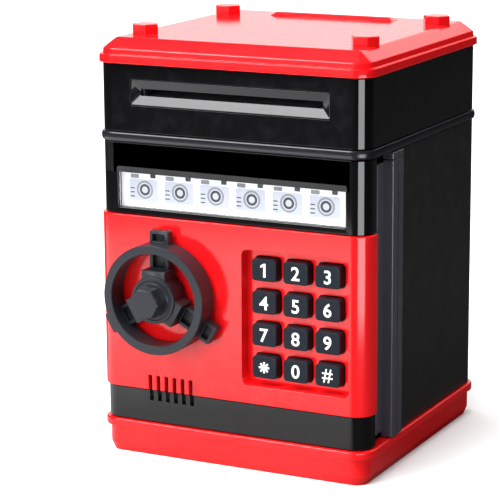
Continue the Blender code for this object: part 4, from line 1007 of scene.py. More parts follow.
@dataclass
class Lid:
    """The red lid with four hexagonal studs, the coin slot and its hood."""

    cabinet: Cabinet
    flange_proud: float = 1.7 * MM
    flange_height: float = 3.6 * MM
    groove_depth: float = 0.22 * MM
    band: float = 2.5 * MM
    bevel: float = 6.3 * MM
    wall: float = 2.2 * MM
    height: float = 10.6 * MM
    stud_radius: float = 6.5 * MM
    stud_edge: float = 0.55 * MM
    stud_inset_x: float = 11.4 * MM
    stud_inset_y: float = 23.8 * MM
    slot_half: float = 20.2 * MM
    slot_width: float = 3.4 * MM
    hood_half: float = 29.0 * MM
    hood_flare: float = 4.0 * MM
    hood_depth: float = 8.0 * MM
    hood_height: float = 1.6 * MM

    def build(self) -> None:
        """Build and dress the lid."""
        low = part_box("top_lid")[0].z
        stud_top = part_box("top_lid")[1].z
        top = low + self.height
        step = low + self.flange_height
        shoulder = step + self.band
        proud = self.flange_proud
        groove = proud - self.groove_depth
        lid = self.cabinet.shell(
            arc(proud - 0.3 * MM, low + 0.3 * MM, 0.3 * MM, -90, 0, 3)
            + [(proud, low + 1.05 * MM), (groove, low + 1.12 * MM), (groove, low + 1.35 * MM)]
            + [(proud - 0.02 * MM, low + 1.42 * MM), (proud - 0.16 * MM, step - 0.4 * MM)]
            + arc(proud - 0.5 * MM, step - 0.35 * MM, 0.35 * MM, 5, 90, 3)
            + arc(0.35 * MM, step + 0.35 * MM, 0.35 * MM, 270, 180, 3)
            + [(-0.18 * MM, shoulder - 0.45 * MM), (-0.3 * MM, shoulder - 0.12 * MM)]
            + [(-0.62 * MM, shoulder + 0.3 * MM)]
            + [(-self.bevel + 0.6 * MM, top - 0.45 * MM), (-self.bevel - 0.1 * MM, top - 0.1 * MM)]
            + [(-self.bevel - 0.8 * MM, top)]
        )
        inner = -self.cabinet.wall - self.cabinet.gap
        hollow = self.cabinet.shell(
            (
                (inner, low - self.wall),
                (inner, shoulder - 0.5 * self.wall),
                (inner - self.bevel + self.wall, top - self.wall),
            )
        )
        lid.cut(hollow)
        x = self.cabinet.half_x - self.stud_inset_x
        y = self.cabinet.half_y - self.stud_inset_y
        soft = self.stud_edge
        studs = [
            Solid.sections(
                polygon(sx, sy, self.stud_radius, 6), Axis.Z,
                [(0.0, top - 0.5 * self.wall)]
                + arc(-soft, stud_top - soft, soft, 0, 90, 4),
            )
            for sx in (-x, x)
            for sy in (-y, y)
        ]
        lid.add(Solid.together(studs), self._hood(top))
        chute = sum(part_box("coin_chute"), Vector()) / 2
        half = self.slot_width / 2
        slot = Solid.mouth(
            rounded(-self.slot_half, self.slot_half, chute.y - half, chute.y + half, 0.6 * MM, 4),
            Axis.Z, top, low, 0.35 * MM,
        )
        hood_cut = Solid.box(
            -self.slot_half, self.slot_half, chute.y - half, chute.y + half, top, stud_top
        )
        show("lid", lid.cut(slot, hood_cut), RED, "top_lid")

    def _hood(self, top: float) -> Solid:
        """The low raised hood behind the coin slot."""
        chute_low, chute_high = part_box("coin_chute")
        foot = (chute_low.y + chute_high.y) / 2 + self.slot_width / 2
        root = top - 0.5 * self.wall
        crest = top + self.hood_height
        rows = (
            (self.hood_half + self.hood_flare, -0.5 * MM, root),
            (self.hood_half + 0.35 * MM, 2.3 * MM, crest - 0.25 * MM),
            (self.hood_half, 2.6 * MM, crest - 0.06 * MM),
            (self.hood_half - 0.4 * MM, 3.0 * MM, crest),
        )
        return Solid.loft(
            [
                [
                    (-long, foot + ease, z),
                    (long, foot + ease, z),
                    (long, foot + self.hood_depth - ease, z),
                    (-long, foot + self.hood_depth - ease, z),
                ]
                for long, ease, z in rows
            ]
        )


@dataclass
class Door:
    """The black door shell, the red panel, the window and the hinge bar."""

    cabinet: Cabinet
    depth: float = 10.5 * MM
    wall: float = 3.5 * MM
    panel_proud: float = 1.2 * MM
    panel: float = 2.1 * MM
    vent_count: int = 6
    vent_pitch: float = 4.1 * MM
    vent_width: float = 1.8 * MM
    vent_inset: float = 25.0 * MM
    vent_above: float = 6.9 * MM
    vent_below: float = 5.2 * MM
    pad_corner: float = 3.0 * MM
    pad_wall: float = 1.6 * MM
    pad_depth: float = 5.5 * MM
    pad_floor: float = 1.5 * MM
    pad_lip: float = 0.25 * MM
    pad_margin: Place = (4.3 * MM, 0.0, 3.5 * MM)
    key_flange: float = 0.9 * MM
    key_hole_corner: float = 2.1 * MM
    window_edge: float = 0.6 * MM
    shaft_hole: float = 3.3 * MM
    return_depth: float = 9.5 * MM
    post_ahead: float = 6.0 * MM
    post_inside: float = 2.8 * MM
    leaf_foot: float = 2.6 * MM
    leaf_head: float = 1.0 * MM
    leaf_width: float = 2.2 * MM
    leaf_overlap: float = 1.5 * MM
    tab_width: float = 1.0 * MM
    post_corner: float = 0.8 * MM
    post_edge: float = 0.4 * MM
    rib_inner: float = 2.0 * MM
    rib_outer: float = 2.5 * MM
    rib_front: float = -47.1 * MM
    rib_back: float = -45.9 * MM
    pin_radius: float = 1.5 * MM
    pin_depth: float = 7.0 * MM
    cap_roof: float = 0.7 * MM
    edge: float = 0.45 * MM

    def __post_init__(self) -> None:
        """Read the places that the pieces share from the frame."""
        first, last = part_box("key_1"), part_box("key_hash")
        grow = Vector(self.pad_margin) - Vector((self.key_flange, 0.0, self.key_flange))
        self.pad_low = Vector((first[0].x, 0.0, last[0].z)) - grow
        self.pad_high = Vector((last[1].x, 0.0, first[1].z)) + grow
        self.axis = sum(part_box("wheel_shaft"), Vector()) / 2
        self.front = self.cabinet.front
        self.panel_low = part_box("door_fascia")[0].z
        self.panel_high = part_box("door_fascia")[1].z

    def build(self) -> None:
        """Build and dress the door."""
        self._shell()
        self._panel()
        self._window()
        self._hinge()

    def pad_outline(self, margin: float) -> Outline:
        """The keypad recess, grown by a margin."""
        return rounded(
            self.pad_low.x - margin, self.pad_high.x + margin,
            self.pad_low.z - margin, self.pad_high.z + margin, self.pad_corner + margin, 8,
        )

    def vents(self, face: float, end: float, edge: float) -> Solid:
        """Cutters for the speaker vents."""
        half = self.vent_width / 2
        first = -self.cabinet.half_x + self.vent_inset
        low, high = self.panel_low - self.vent_below, self.panel_low + self.vent_above
        return Solid.together(
            [
                Solid.mouth(
                    rounded(x - half, x + half, low, high, 0.35 * MM, 3), Axis.Y, face, end, edge
                )
                for x in (first + k * self.vent_pitch for k in range(self.vent_count))
            ]
        )

    def bore(self, face: float, end: float) -> Solid:
        """The hole for the wheel's shaft."""
        return Solid.prism(polygon(self.axis.x, self.axis.z, self.shaft_hole, 48), Axis.Y, face, end)

    def _shell(self) -> None:
        """The black shell that the panel and the window sit in."""
        low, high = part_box("door_frame")
        gap = self.cabinet.gap
        seat = self.panel_proud - self.panel - gap
        below, above = self.panel_low - gap, self.panel_high + gap
        soft = self.edge
        shell = self.cabinet.shell(
            arc(-soft, low.z + soft, soft, -90, 0, 4)
            + [(0.0, below - 0.3 * MM), (-0.3 * MM, below), (seat, below)]
            + [(seat, above), (-0.3 * MM, above), (0.0, above + 0.3 * MM)]
            + arc(-soft, high.z - soft, soft, 0, 90, 4)
        )
        wall = self.cabinet.wall
        inside = -self.wall
        hollow = self.cabinet.shell(((inside, low.z + wall), (inside, high.z - wall)))
        deep = self.front + self.wall + wall
        lens_low, lens_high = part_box("window_lens")
        window = Solid.mouth(
            rounded(
                lens_low.x - gap, lens_high.x + gap, lens_low.z - gap, lens_high.z + gap,
                self.window_edge, 4,
            ),
            Axis.Y, self.front, deep, self.window_edge,
        )
        pad = Solid.prism(self.pad_outline(self.pad_wall + gap), Axis.Y, self.front - wall, deep)
        shell.cut(
            hollow, self.cabinet.behind(high.y, -wall, 2 * high.z), window, pad,
            self.bore(self.front - wall, deep), self.vents(self.front + 0.05 * MM, deep, 0.2 * MM),
        )
        show("door_shell", shell, BLACK, "door_frame")

    def _panel(self) -> None:
        """The red panel that wraps round the door's corners."""
        face = self.front - self.panel_proud
        cabinet = self.cabinet
        panel = Solid.prism(
            lambda grow: cabinet.plan()(self.panel_proud + grow), Axis.Z,
            self.panel_low, self.panel_high, self.edge, 4,
        )
        inner = self.panel_proud - self.panel
        wall = cabinet.wall
        hollow = cabinet.shell(((inner, self.panel_low - wall), (inner, self.panel_high + wall)))
        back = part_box("door_fascia")[1].y
        end = self.front + self.return_depth
        panel.cut(hollow, cabinet.behind(end, -wall, 2 * self.panel_high))
        floor = face + self.pad_depth
        lip = self.pad_lip
        tub = Solid.prism(
            self.pad_outline(self.pad_wall), Axis.Y, face + 0.5 * self.panel, floor + self.pad_floor
        )
        recess = Solid.sections(
            self.pad_outline(0.0), Axis.Y,
            [(lip, face - OVERCUT)]
            + [(lip - g, d) for g, d in arc(0.0, face + lip, lip, -90, 0, 4)]
            + [(-g, d) for g, d in arc(0.0, floor - lip, lip, 0, 90, 4)],
        )
        panel.add(tub).cut(recess)
        holes = [
            Solid.prism(
                rounded(*self._key_sides(name), self.key_hole_corner, 6),
                Axis.Y, floor - OVERCUT, back + wall,
            )
            for name in KEYS
        ]
        panel.cut(
            Solid.together(holes), self.bore(face - wall, self.front + wall),
            self.vents(face, self.front + wall, 0.3 * MM),
        )
        show("door_panel", panel, RED, "door_fascia")

    def _key_sides(self, name: str) -> tuple[float, float, float, float]:
        """A key hole's sides: left, right, bottom and top."""
        low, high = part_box(f"key_{name}")
        trim = self.key_flange - self.cabinet.gap
        return (low.x + trim, high.x - trim, low.z + trim, high.z - trim)

    def _window(self) -> None:
        """The clear lens with soft edges and the printed card behind it."""
        low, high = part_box("window_lens")
        lens = Solid.prism(
            rounded(low.x, high.x, low.z, high.z, 0.5 * MM, 4), Axis.Y, low.y, high.y, 0.15 * MM, 2
        )
        show("window_pane", lens, LENS, "window_lens")
        low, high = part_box("picture_card")
        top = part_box("window_lens")[1].z
        card = Solid.prism(
            rounded(low.x, high.x, low.z, top, 0.8 * MM, 4), Axis.Y, low.y, high.y, 0.05 * MM, 1
        )
        # the card's finish carries a painted glow, an emission that stands in for light blocked by the lens
        show("window_card", card, CARD, "picture_card")
        CardPrint(low.y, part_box("window_lens")).build()

    def _hinge(self) -> None:
        """The hinge bar with its leaf, and the knuckle above it."""
        low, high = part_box("hinge_bar")
        gap = self.cabinet.gap
        pin = sum(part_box("hinge_pin_upper"), Vector()) / 2
        front, inner = pin.y - self.post_ahead, pin.x - self.post_inside
        foot, head = low.z + self.leaf_foot, high.z - self.leaf_head
        plan = rounded(inner, high.x, front, high.y, self.post_corner, 5)
        bar = Solid.prism(plan, Axis.Z, low.z, high.z, self.post_edge, 3)
        leaf = Solid.box(
            low.x, low.x + self.leaf_width, self.front + self.depth + gap,
            front + self.leaf_overlap, foot, head,
        )
        tab_outer = self.cabinet.half_x - self.wall - gap
        tab = Solid.box(
            tab_outer - self.tab_width, tab_outer, low.y,
            self.front + self.depth + gap + self.tab_width,
            foot, head,
        )
        rib = Solid.prism(
            rounded(
                low.x + self.rib_inner, low.x + self.rib_outer, self.rib_front, self.rib_back,
                0.2 * MM, 3,
            ),
            Axis.Z, foot, head,
        )
        hole, deep = self.pin_radius, self.pin_depth
        bar.add(leaf, tab, rib).cut(
            groove_at(high.x, pin.y, low.z, high.z),
            Solid.prism(polygon(pin.x, pin.y, hole, 24), Axis.Z, high.z - deep, high.z + deep),
            Solid.prism(polygon(pin.x, pin.y, hole, 24), Axis.Z, low.z - deep, low.z + deep),
        )
        show("hinge_post", bar, BAR_GREY, "hinge_bar")
        low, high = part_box("hinge_knuckle")
        knuckle = Solid.prism(plan, Axis.Z, low.z, high.z, self.post_edge, 3)
        knuckle.cut(
            groove_at(high.x, pin.y, low.z, high.z),
            Solid.prism(polygon(pin.x, pin.y, hole, 24), Axis.Z, low.z - deep, high.z - self.cap_roof),
        )
        show("hinge_cap", knuckle, BAR_GREY, "hinge_knuckle")


def groove_at(outer: float, y: float, low: float, high: float) -> Solid:
    """The groove that runs down the hinge's outer face."""
    return Solid.prism(
        rounded(outer - 0.5 * MM, outer + 1 * MM, y - 1.0 * MM, y - 0.3 * MM, 0.2 * MM, 3),
        Axis.Z, low - OVERCUT, high + OVERCUT,
    )


@dataclass
class CardPrint:
    """The window card's picture: plain rings, blocks and bars in three greys."""

    face: float
    pane: tuple[Vector, Vector]
    film: float = 0.06 * MM
    clear: float = 2.0 * MM
    groups: int = 6

    def build(self) -> None:
        """Build one layer of shapes for each ink."""
        low, high = self.pane
        z0, z1 = low.z + self.clear, high.z - self.clear
        tall = z1 - z0
        middle = (z0 + z1) / 2
        wide = high.x - low.x - 2 * self.clear
        pale, mid, dark = [], [], []
        for k in range(self.groups):
            x = low.x + self.clear + wide * (k + 0.5) / self.groups
            foot, head = z0 + 0.6 * MM, z0 + 0.78 * tall
            pale.append(self._plate(x - 7.2 * MM, x + 7.2 * MM, foot, head, 1.0 * MM, 0))
            foot, head = z0 + 0.80 * tall, z0 + 0.94 * tall
            mid.append(self._plate(x - 6.6 * MM, x - 2.4 * MM, foot, head, 0.5 * MM, 0))
            mid.append(self._ring(x + 0.6 * MM, middle - 1.0 * MM, 4.1 * MM, 3.2 * MM, 1))
            dark.append(self._ring(x + 0.6 * MM, middle - 1.0 * MM, 2.6 * MM, 1.5 * MM, 1))
            dark.append(self._plate(x + 3.4 * MM, x + 6.0 * MM, z0 + 0.84 * tall, z0 + tall, 0.3 * MM, 1))
            for bar in range(3):
                z = z0 + (0.16 + 0.14 * bar) * tall
                dark.append(self._plate(x - 6.8 * MM, x - 4.6 * MM, z, z + 0.5 * MM, 0.1 * MM, 1))
        for name, shapes, ink in (
            # the pale blocks carry the painted glow of their ink
            ("card_blocks", pale, INK_PALE),
            ("card_rings", mid, INK_MID),
            ("card_marks", dark, INK_DARK),
        ):
            show(name, Solid.together(shapes), ink, "picture_card", hides=False)

    def _plate(self, x0: float, x1: float, z0: float, z1: float, radius: float, layer: int) -> Solid:
        """A flat block of ink."""
        near = self.face - self.film * (layer + 1)
        return Solid.prism(rounded(x0, x1, z0, z1, radius, 4), Axis.Y, near, self.face + self.film)

    def _ring(self, x: float, z: float, outer: float, inner: float, layer: int) -> Solid:
        """A flat ring of ink."""
        near = self.face - self.film * (layer + 1)
        back = self.face + self.film
        return Solid.ring([(outer, near), (outer, back), (inner, back), (inner, near)], x, z, 48)


KEYS = ("1", "2", "3", "4", "5", "6", "7", "8", "9", "star", "0", "hash")


@dataclass
class Keypad:
    """Twelve keys with white legends."""

    flange: float = 0.9 * MM
    flange_thickness: float = 1.0 * MM
    skirt: float = 1.0 * MM
    draft: float = 0.3 * MM
    crown: float = 0.55 * MM
    corner: float = 1.9 * MM
    legend_height: float = 6.1 * MM
    legend_width: float = 4.2 * MM
    legend_film: float = 0.10 * MM
    digit_weight: float = 0.015
    star_radius: float = 2.5 * MM
    star_arm: float = 0.42 * MM
    hash_bar: float = 0.34 * MM

    def build(self) -> None:
        """Build and dress every key and its legend."""
        for name in KEYS:
            node = f"key_{name}"
            low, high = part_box(node)
            show(f"cap_{name}", self._cap(low, high), KEYCAP, node)
            middle = (low + high) / 2
            legend = self._legend(name)
            legend.moved(Matrix.Translation((middle.x, low.y, middle.z)))
            show(f"legend_{name}", legend, LEGEND, node, hides=False)

    def _cap(self, low: Vector, high: Vector) -> Solid:
        """One key: a drafted cap with a soft crown over a flange."""
        trim = self.flange
        sides = rounded(
            low.x + trim, high.x - trim, low.z + trim, high.z - trim, self.corner, 7
        )
        face, back = low.y, high.y
        seat = back - self.flange_thickness
        crown = [
            (-self.draft - self.crown * (1 - math.sin(t)), face + self.crown * (1 - math.cos(t)))
            for t in (math.pi / 2 * k / 6 for k in range(7))
        ]
        steps = crown + [(0.0, seat - self.skirt), (0.0, seat), (trim, seat), (trim, back)]
        return Solid.sections(sides, Axis.Y, reversed(steps))

    def _legend(self, name: str) -> Solid:
        """A key's legend round the middle of its face, facing -Y."""
        if name == "star":
            return self._star()
        if name == "hash":
            return self._hash()
        if name == "1":
            return self._one()
        if name == "9":
            return self._digit("6").moved(Matrix.Rotation(math.pi, 4, "Y"))
        return self._digit(name)

    def _one(self) -> Solid:
        """A one with a slanted flag."""
        top = self.legend_height / 2
        inner, outer, tip = -0.15 * MM, 0.95 * MM, -1.5 * MM
        return self._film(
            [
                (inner, -top), (outer, -top), (outer, top), (0.15 * MM, top),
                (tip, top - 0.95 * MM), (tip, top - 1.95 * MM), (inner, top - 1.35 * MM),
            ]
        )

    def _film(self, outline: Flat) -> Solid:
        """A thin raised film of an outline."""
        return Solid.prism(fixed(outline), Axis.Y, -self.legend_film, self.legend_film)

    def _star(self) -> Solid:
        """A star of eight round-ended arms."""
        arms = 8
        half = self.star_arm
        nook = half / math.sin(math.pi / arms)
        points = []
        for k in range(arms):
            turn = math.tau * k / arms + math.pi / 2
            between = turn - math.pi / arms
            points.append((nook * math.cos(between), nook * math.sin(between)))
            for side in (-1, 1):
                points.append(
                    (
                        self.star_radius * math.cos(turn) - side * half * math.sin(turn),
                        self.star_radius * math.sin(turn) + side * half * math.cos(turn),
                    )
                )
        return self._film(points)

    def _hash(self) -> Solid:
        """A slanted hash of two uprights and two bars."""
        reach, half = self.legend_height / 2, self.hash_bar
        wide, lean, apart = 2.5 * MM, 0.55 * MM, 1.05 * MM
        bars = []
        for side in (-1, 1):
            x = side * apart
            upright = [
                (x - lean - half, -reach), (x - lean + half, -reach),
                (x + lean + half, reach), (x + lean - half, reach),
            ]
            bars.append(self._film(upright))
            z = side * apart
            level = [(-wide, z - half), (wide, z - half), (wide, z + half), (-wide, z + half)]
            bars.append(self._film(level))
        return bars[0].add(*bars[1:])

    def _digit(self, text: str) -> Solid:
        """A plain digit from the built-in letterforms, made a little bolder."""
        curve = bpy.data.curves.new("digit", "FONT")
        curve.body = text
        curve.size = 1.0
        curve.offset = self.digit_weight
        curve.extrude = 0.02
        curve.resolution_u = 8
        item = bpy.data.objects.new("digit", curve)
        bpy.context.scene.collection.objects.link(item)
        graph = bpy.context.evaluated_depsgraph_get()
        mesh = bpy.data.meshes.new_from_object(item.evaluated_get(graph))
        bpy.data.objects.remove(item, do_unlink=True)
        edit = bmesh.new()
        edit.from_mesh(mesh)
        bmesh.ops.remove_doubles(edit, verts=edit.verts, dist=1e-4)
        low = Vector([min(v.co[i] for v in edit.verts) for i in range(3)])
        high = Vector([max(v.co[i] for v in edit.verts) for i in range(3)])
        size = high - low
        wide = min(self.legend_width, size.x * self.legend_height / size.y)
        scale = Matrix.Diagonal(
            (wide / size.x, self.legend_height / size.y, 2 * self.legend_film / size.z, 1.0)
        )
        stand = Matrix.Rotation(math.pi / 2, 4, "X")
        bmesh.ops.transform(
            edit, matrix=stand @ scale @ Matrix.Translation(-(low + high) / 2), verts=edit.verts
        )
        return Solid(edit)


@dataclass
class Handwheel:
    """The round wheel with three channelled spokes, and its hexagonal bolt."""

    rim: float = 24.7 * MM
    rim_width: float = 4.0 * MM
    hub: float = 10.6 * MM
    spoke: float = 9.4 * MM
    rail: float = 1.6 * MM
    recess: float = 2.4 * MM
    setback: float = 6.5 * MM
    stop: float = 2.4 * MM
    lug: float = 5.4 * MM
    edge: float = 0.5 * MM
    bolt_radius: float = 7.1 * MM
    bolt_height: float = 7.4 * MM
    bolt_edge: float = 0.7 * MM
    bolt_stub_radius: float = 2.2 * MM
    fit: float = 0.3 * MM
    stub_radius: float = 2.5 * MM
    stub_depth: float = 2.5 * MM
    dish_edge: float = 1.5 * MM
    dish_slope: float = 0.3 * MM
    dish_depth: float = 0.4 * MM
    spoke_root: float = 0.6
    spoke_corner: float = 0.9 * MM
    spoke_edge: float = 0.35 * MM
    stop_width: float = 0.55
    stop_setback: float = 0.8 * MM
    stop_edge: float = 0.3 * MM
    shaft_radius: float = 3.3 * MM
    x: float = field(init=False)
    z: float = field(init=False)
    front: float = field(init=False)
    back: float = field(init=False)

    def __post_init__(self) -> None:
        """Read the wheel's place from the frame."""
        axis = sum(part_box("wheel_shaft"), Vector()) / 2
        low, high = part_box("handwheel")
        self.x, self.z, self.front, self.back = axis.x, axis.z, low.y, high.y

    def build(self) -> None:
        """Build and dress the wheel and the bolt."""
        wheel = self._rim().add(self._hub())
        angles = [math.radians(90 + 120 * k) for k in range(3)]
        for angle in angles:
            wheel.add(self._spoke(angle), self._stop(angle))
        for angle in angles:
            wheel.cut(*self._channels(angle))
        stub = Solid.prism(
            polygon(self.x, self.z, self.stub_radius, 32),
            Axis.Y, self.front - OVERCUT, self.front + self.stub_depth,
        )
        shaft = Solid.prism(
            polygon(self.x, self.z, self.shaft_radius, 40),
            Axis.Y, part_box("wheel_shaft")[0].y - self.fit, self.back + OVERCUT,
        )
        show("wheel", wheel.cut(stub, shaft), WHEEL, "handwheel")
        self._bolt()

    def _rim(self) -> Solid:
        """The rim, with round edges."""
        r0, r1, e = self.rim - self.rim_width, self.rim, self.edge
        profile = (
            arc(r1 - e, self.front + e, e, -90, 0, 5)
            + arc(r1 - e, self.back - e, e, 0, 90, 5)
            + arc(r0 + e, self.back - e, e, 90, 180, 5)
            + arc(r0 + e, self.front + e, e, 180, 270, 5)
        )
        return Solid.ring(profile, self.x, self.z, 128)

    def _hub(self) -> Solid:
        """The hub with a shallow dish round the bolt."""
        soft = 0.9 * self.edge
        steps = [
            (-soft + soft * math.sin(t), self.front + soft * (1 - math.cos(t)))
            for t in (math.pi / 2 * k / 5 for k in range(6))
        ]
        body = Solid.sections(
            polygon(self.x, self.z, self.hub, 96), Axis.Y, reversed(steps + [(0.0, self.back)])
        )
        near, far = self.bolt_radius + self.fit, self.hub - self.dish_edge
        above, floor = self.front - 0.5 * MM, self.front + self.dish_depth
        bend, slope = floor - self.dish_slope, self.dish_slope
        dish = Solid.ring(
            [
                (near, above), (far, above), (far, bend),
                (far - slope, floor), (near + slope, floor), (near, bend),
            ],
            self.x, self.z, 96,
        )
        return body.cut(dish)

    def _strip(self, angle: float, near: float, far: float, half: float, corner: float) -> Outline:
        """A strip along an angle, with round corners, that can grow."""
        flat = rounded(near, far, -half, half, corner, 5)

        def outline(grow: float) -> Flat:
            """The points, grown by an amount."""
            c, s = math.cos(angle), math.sin(angle)
            return [(self.x + a * c - b * s, self.z + a * s + b * c) for a, b in flat(grow)]

        return outline

    def _spoke(self, angle: float) -> Solid:
        """One spoke, from the hub out to its lug."""
        tip = self.rim + self.lug
        root = self.spoke_root * self.hub
        outline = self._strip(angle, root, tip, self.spoke / 2, self.spoke_corner)
        face, back = self.front + self.setback, self.back - 0.1 * MM
        return Solid.prism(outline, Axis.Y, face, back, self.spoke_edge, 4)

    def _stop(self, angle: float) -> Solid:
        """The raised stop where a spoke meets the hub."""
        root, half = self.spoke_root * self.hub, self.stop_width * self.hub
        outline = self._strip(angle, root, self.hub + self.stop, half, 0.4 * MM)
        face, back = self.front + self.stop_setback, self.back - 0.2 * MM
        return Solid.prism(outline, Axis.Y, face, back, self.stop_edge, 3)

    def _channels(self, angle: float) -> list[Solid]:
        """The channels between a spoke's rails and in its lug."""
        face = self.front + self.setback
        half = self.spoke / 2 - self.rail
        inside, outside = self.rim - self.rim_width, self.rim
        return [
            Solid.mouth(
                self._strip(angle, near, far, half, 0.4 * MM), Axis.Y, face, face + self.recess, 0.25 * MM
            )
            for near, far in (
                (self.hub + self.stop + 0.6 * MM, inside - 0.3 * MM),
                (outside + 0.4 * MM, self.rim + self.lug - self.rail),
            )
        ]

    def _bolt(self) -> None:
        """The hexagonal bolt with a chamfered head."""
        low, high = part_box("wheel_bolt")
        back = low.y + self.bolt_height
        soft = arc(-self.bolt_edge, low.y + self.bolt_edge, self.bolt_edge, -90, 0, 5)
        bolt = Solid.sections(
            polygon(self.x, self.z, self.bolt_radius, 6), Axis.Y, reversed(soft + [(0.0, back)])
        )
        stub = Solid.prism(
            polygon(self.x, self.z, self.bolt_stub_radius, 32), Axis.Y, back - OVERCUT, high.y
        )
        show("wheel_nut", bolt.add(stub), WHEEL, "wheel_bolt")


# ---------------------------------------------------------------- carried-over pieces
@dataclass
class InnerWorks:
    """The frame's own pieces that keep their shape and get a finish."""

    finishes: dict[str, Finish] = field(
        default_factory=lambda: {
            "floor_plate": SATIN_BLACK, "battery_cover": RED, "door_back_cover": SATIN_BLACK,
            "battery_cover_screw": SCREW, "base_screw_fl": SCREW, "base_screw_fr": SCREW,
            "base_screw_bl": SCREW, "base_screw_br": SCREW,
            "battery_1": SLEEVE, "battery_2": SLEEVE, "battery_3": SLEEVE,
            "latch_keeper": STEEL, "latch_arm": STEEL, "lock_disc": NYLON, "wheel_shaft": STEEL,
            "solenoid": STEEL, "solenoid_plunger": STEEL, "hinge_pin_upper": STEEL,
            "hinge_pin_lower": STEEL, "speaker": STEEL, "feed_motor": STEEL, "feed_shaft": STEEL,
            "bill_guide": INNER_GREY, "coin_chute": INNER_GREY, "feeder_frame": NYLON,
            "feed_roller_left": RUBBER, "feed_roller_right": RUBBER, "pinch_roller": RUBBER,
            "feed_gear": NYLON, "motor_pinion": NYLON, "main_board": LAMINATE,
            "keypad_mat": RUBBER, "keypad_board": LAMINATE,
        }
    )

    def dress(self) -> None:
        """Give each piece its finish."""
        for name, finish in self.finishes.items():
            slots = frame["nodes"][name].data.materials
            slots.clear()
            slots.append(finish.material())
            log.info("%s: %s", name, finish.name)


# ---------------------------------------------------------------- studio
@dataclass(frozen=True)
class Lamp:
    """One soft light panel that faces a point."""

    name: str
    place: Place
    target: Place
    width: float
    height: float
    power: float
    matt: bool = True
    gloss: bool = True

    def build(self) -> None:
        """Hang the panel."""
        data = bpy.data.lights.new(self.name, "AREA")
        data.shape = "RECTANGLE"
        data.size = self.width
        data.size_y = self.height
        data.energy = self.power
        lamp = bpy.data.objects.new(self.name, data)
        bpy.context.scene.collection.objects.link(lamp)
        way = Vector(self.target) - Vector(self.place)
        lamp.location = self.place
        lamp.rotation_euler = way.to_track_quat("-Z", "Y").to_euler()
        lamp.visible_camera = False
        lamp.visible_diffuse = self.matt
        lamp.visible_glossy = self.gloss


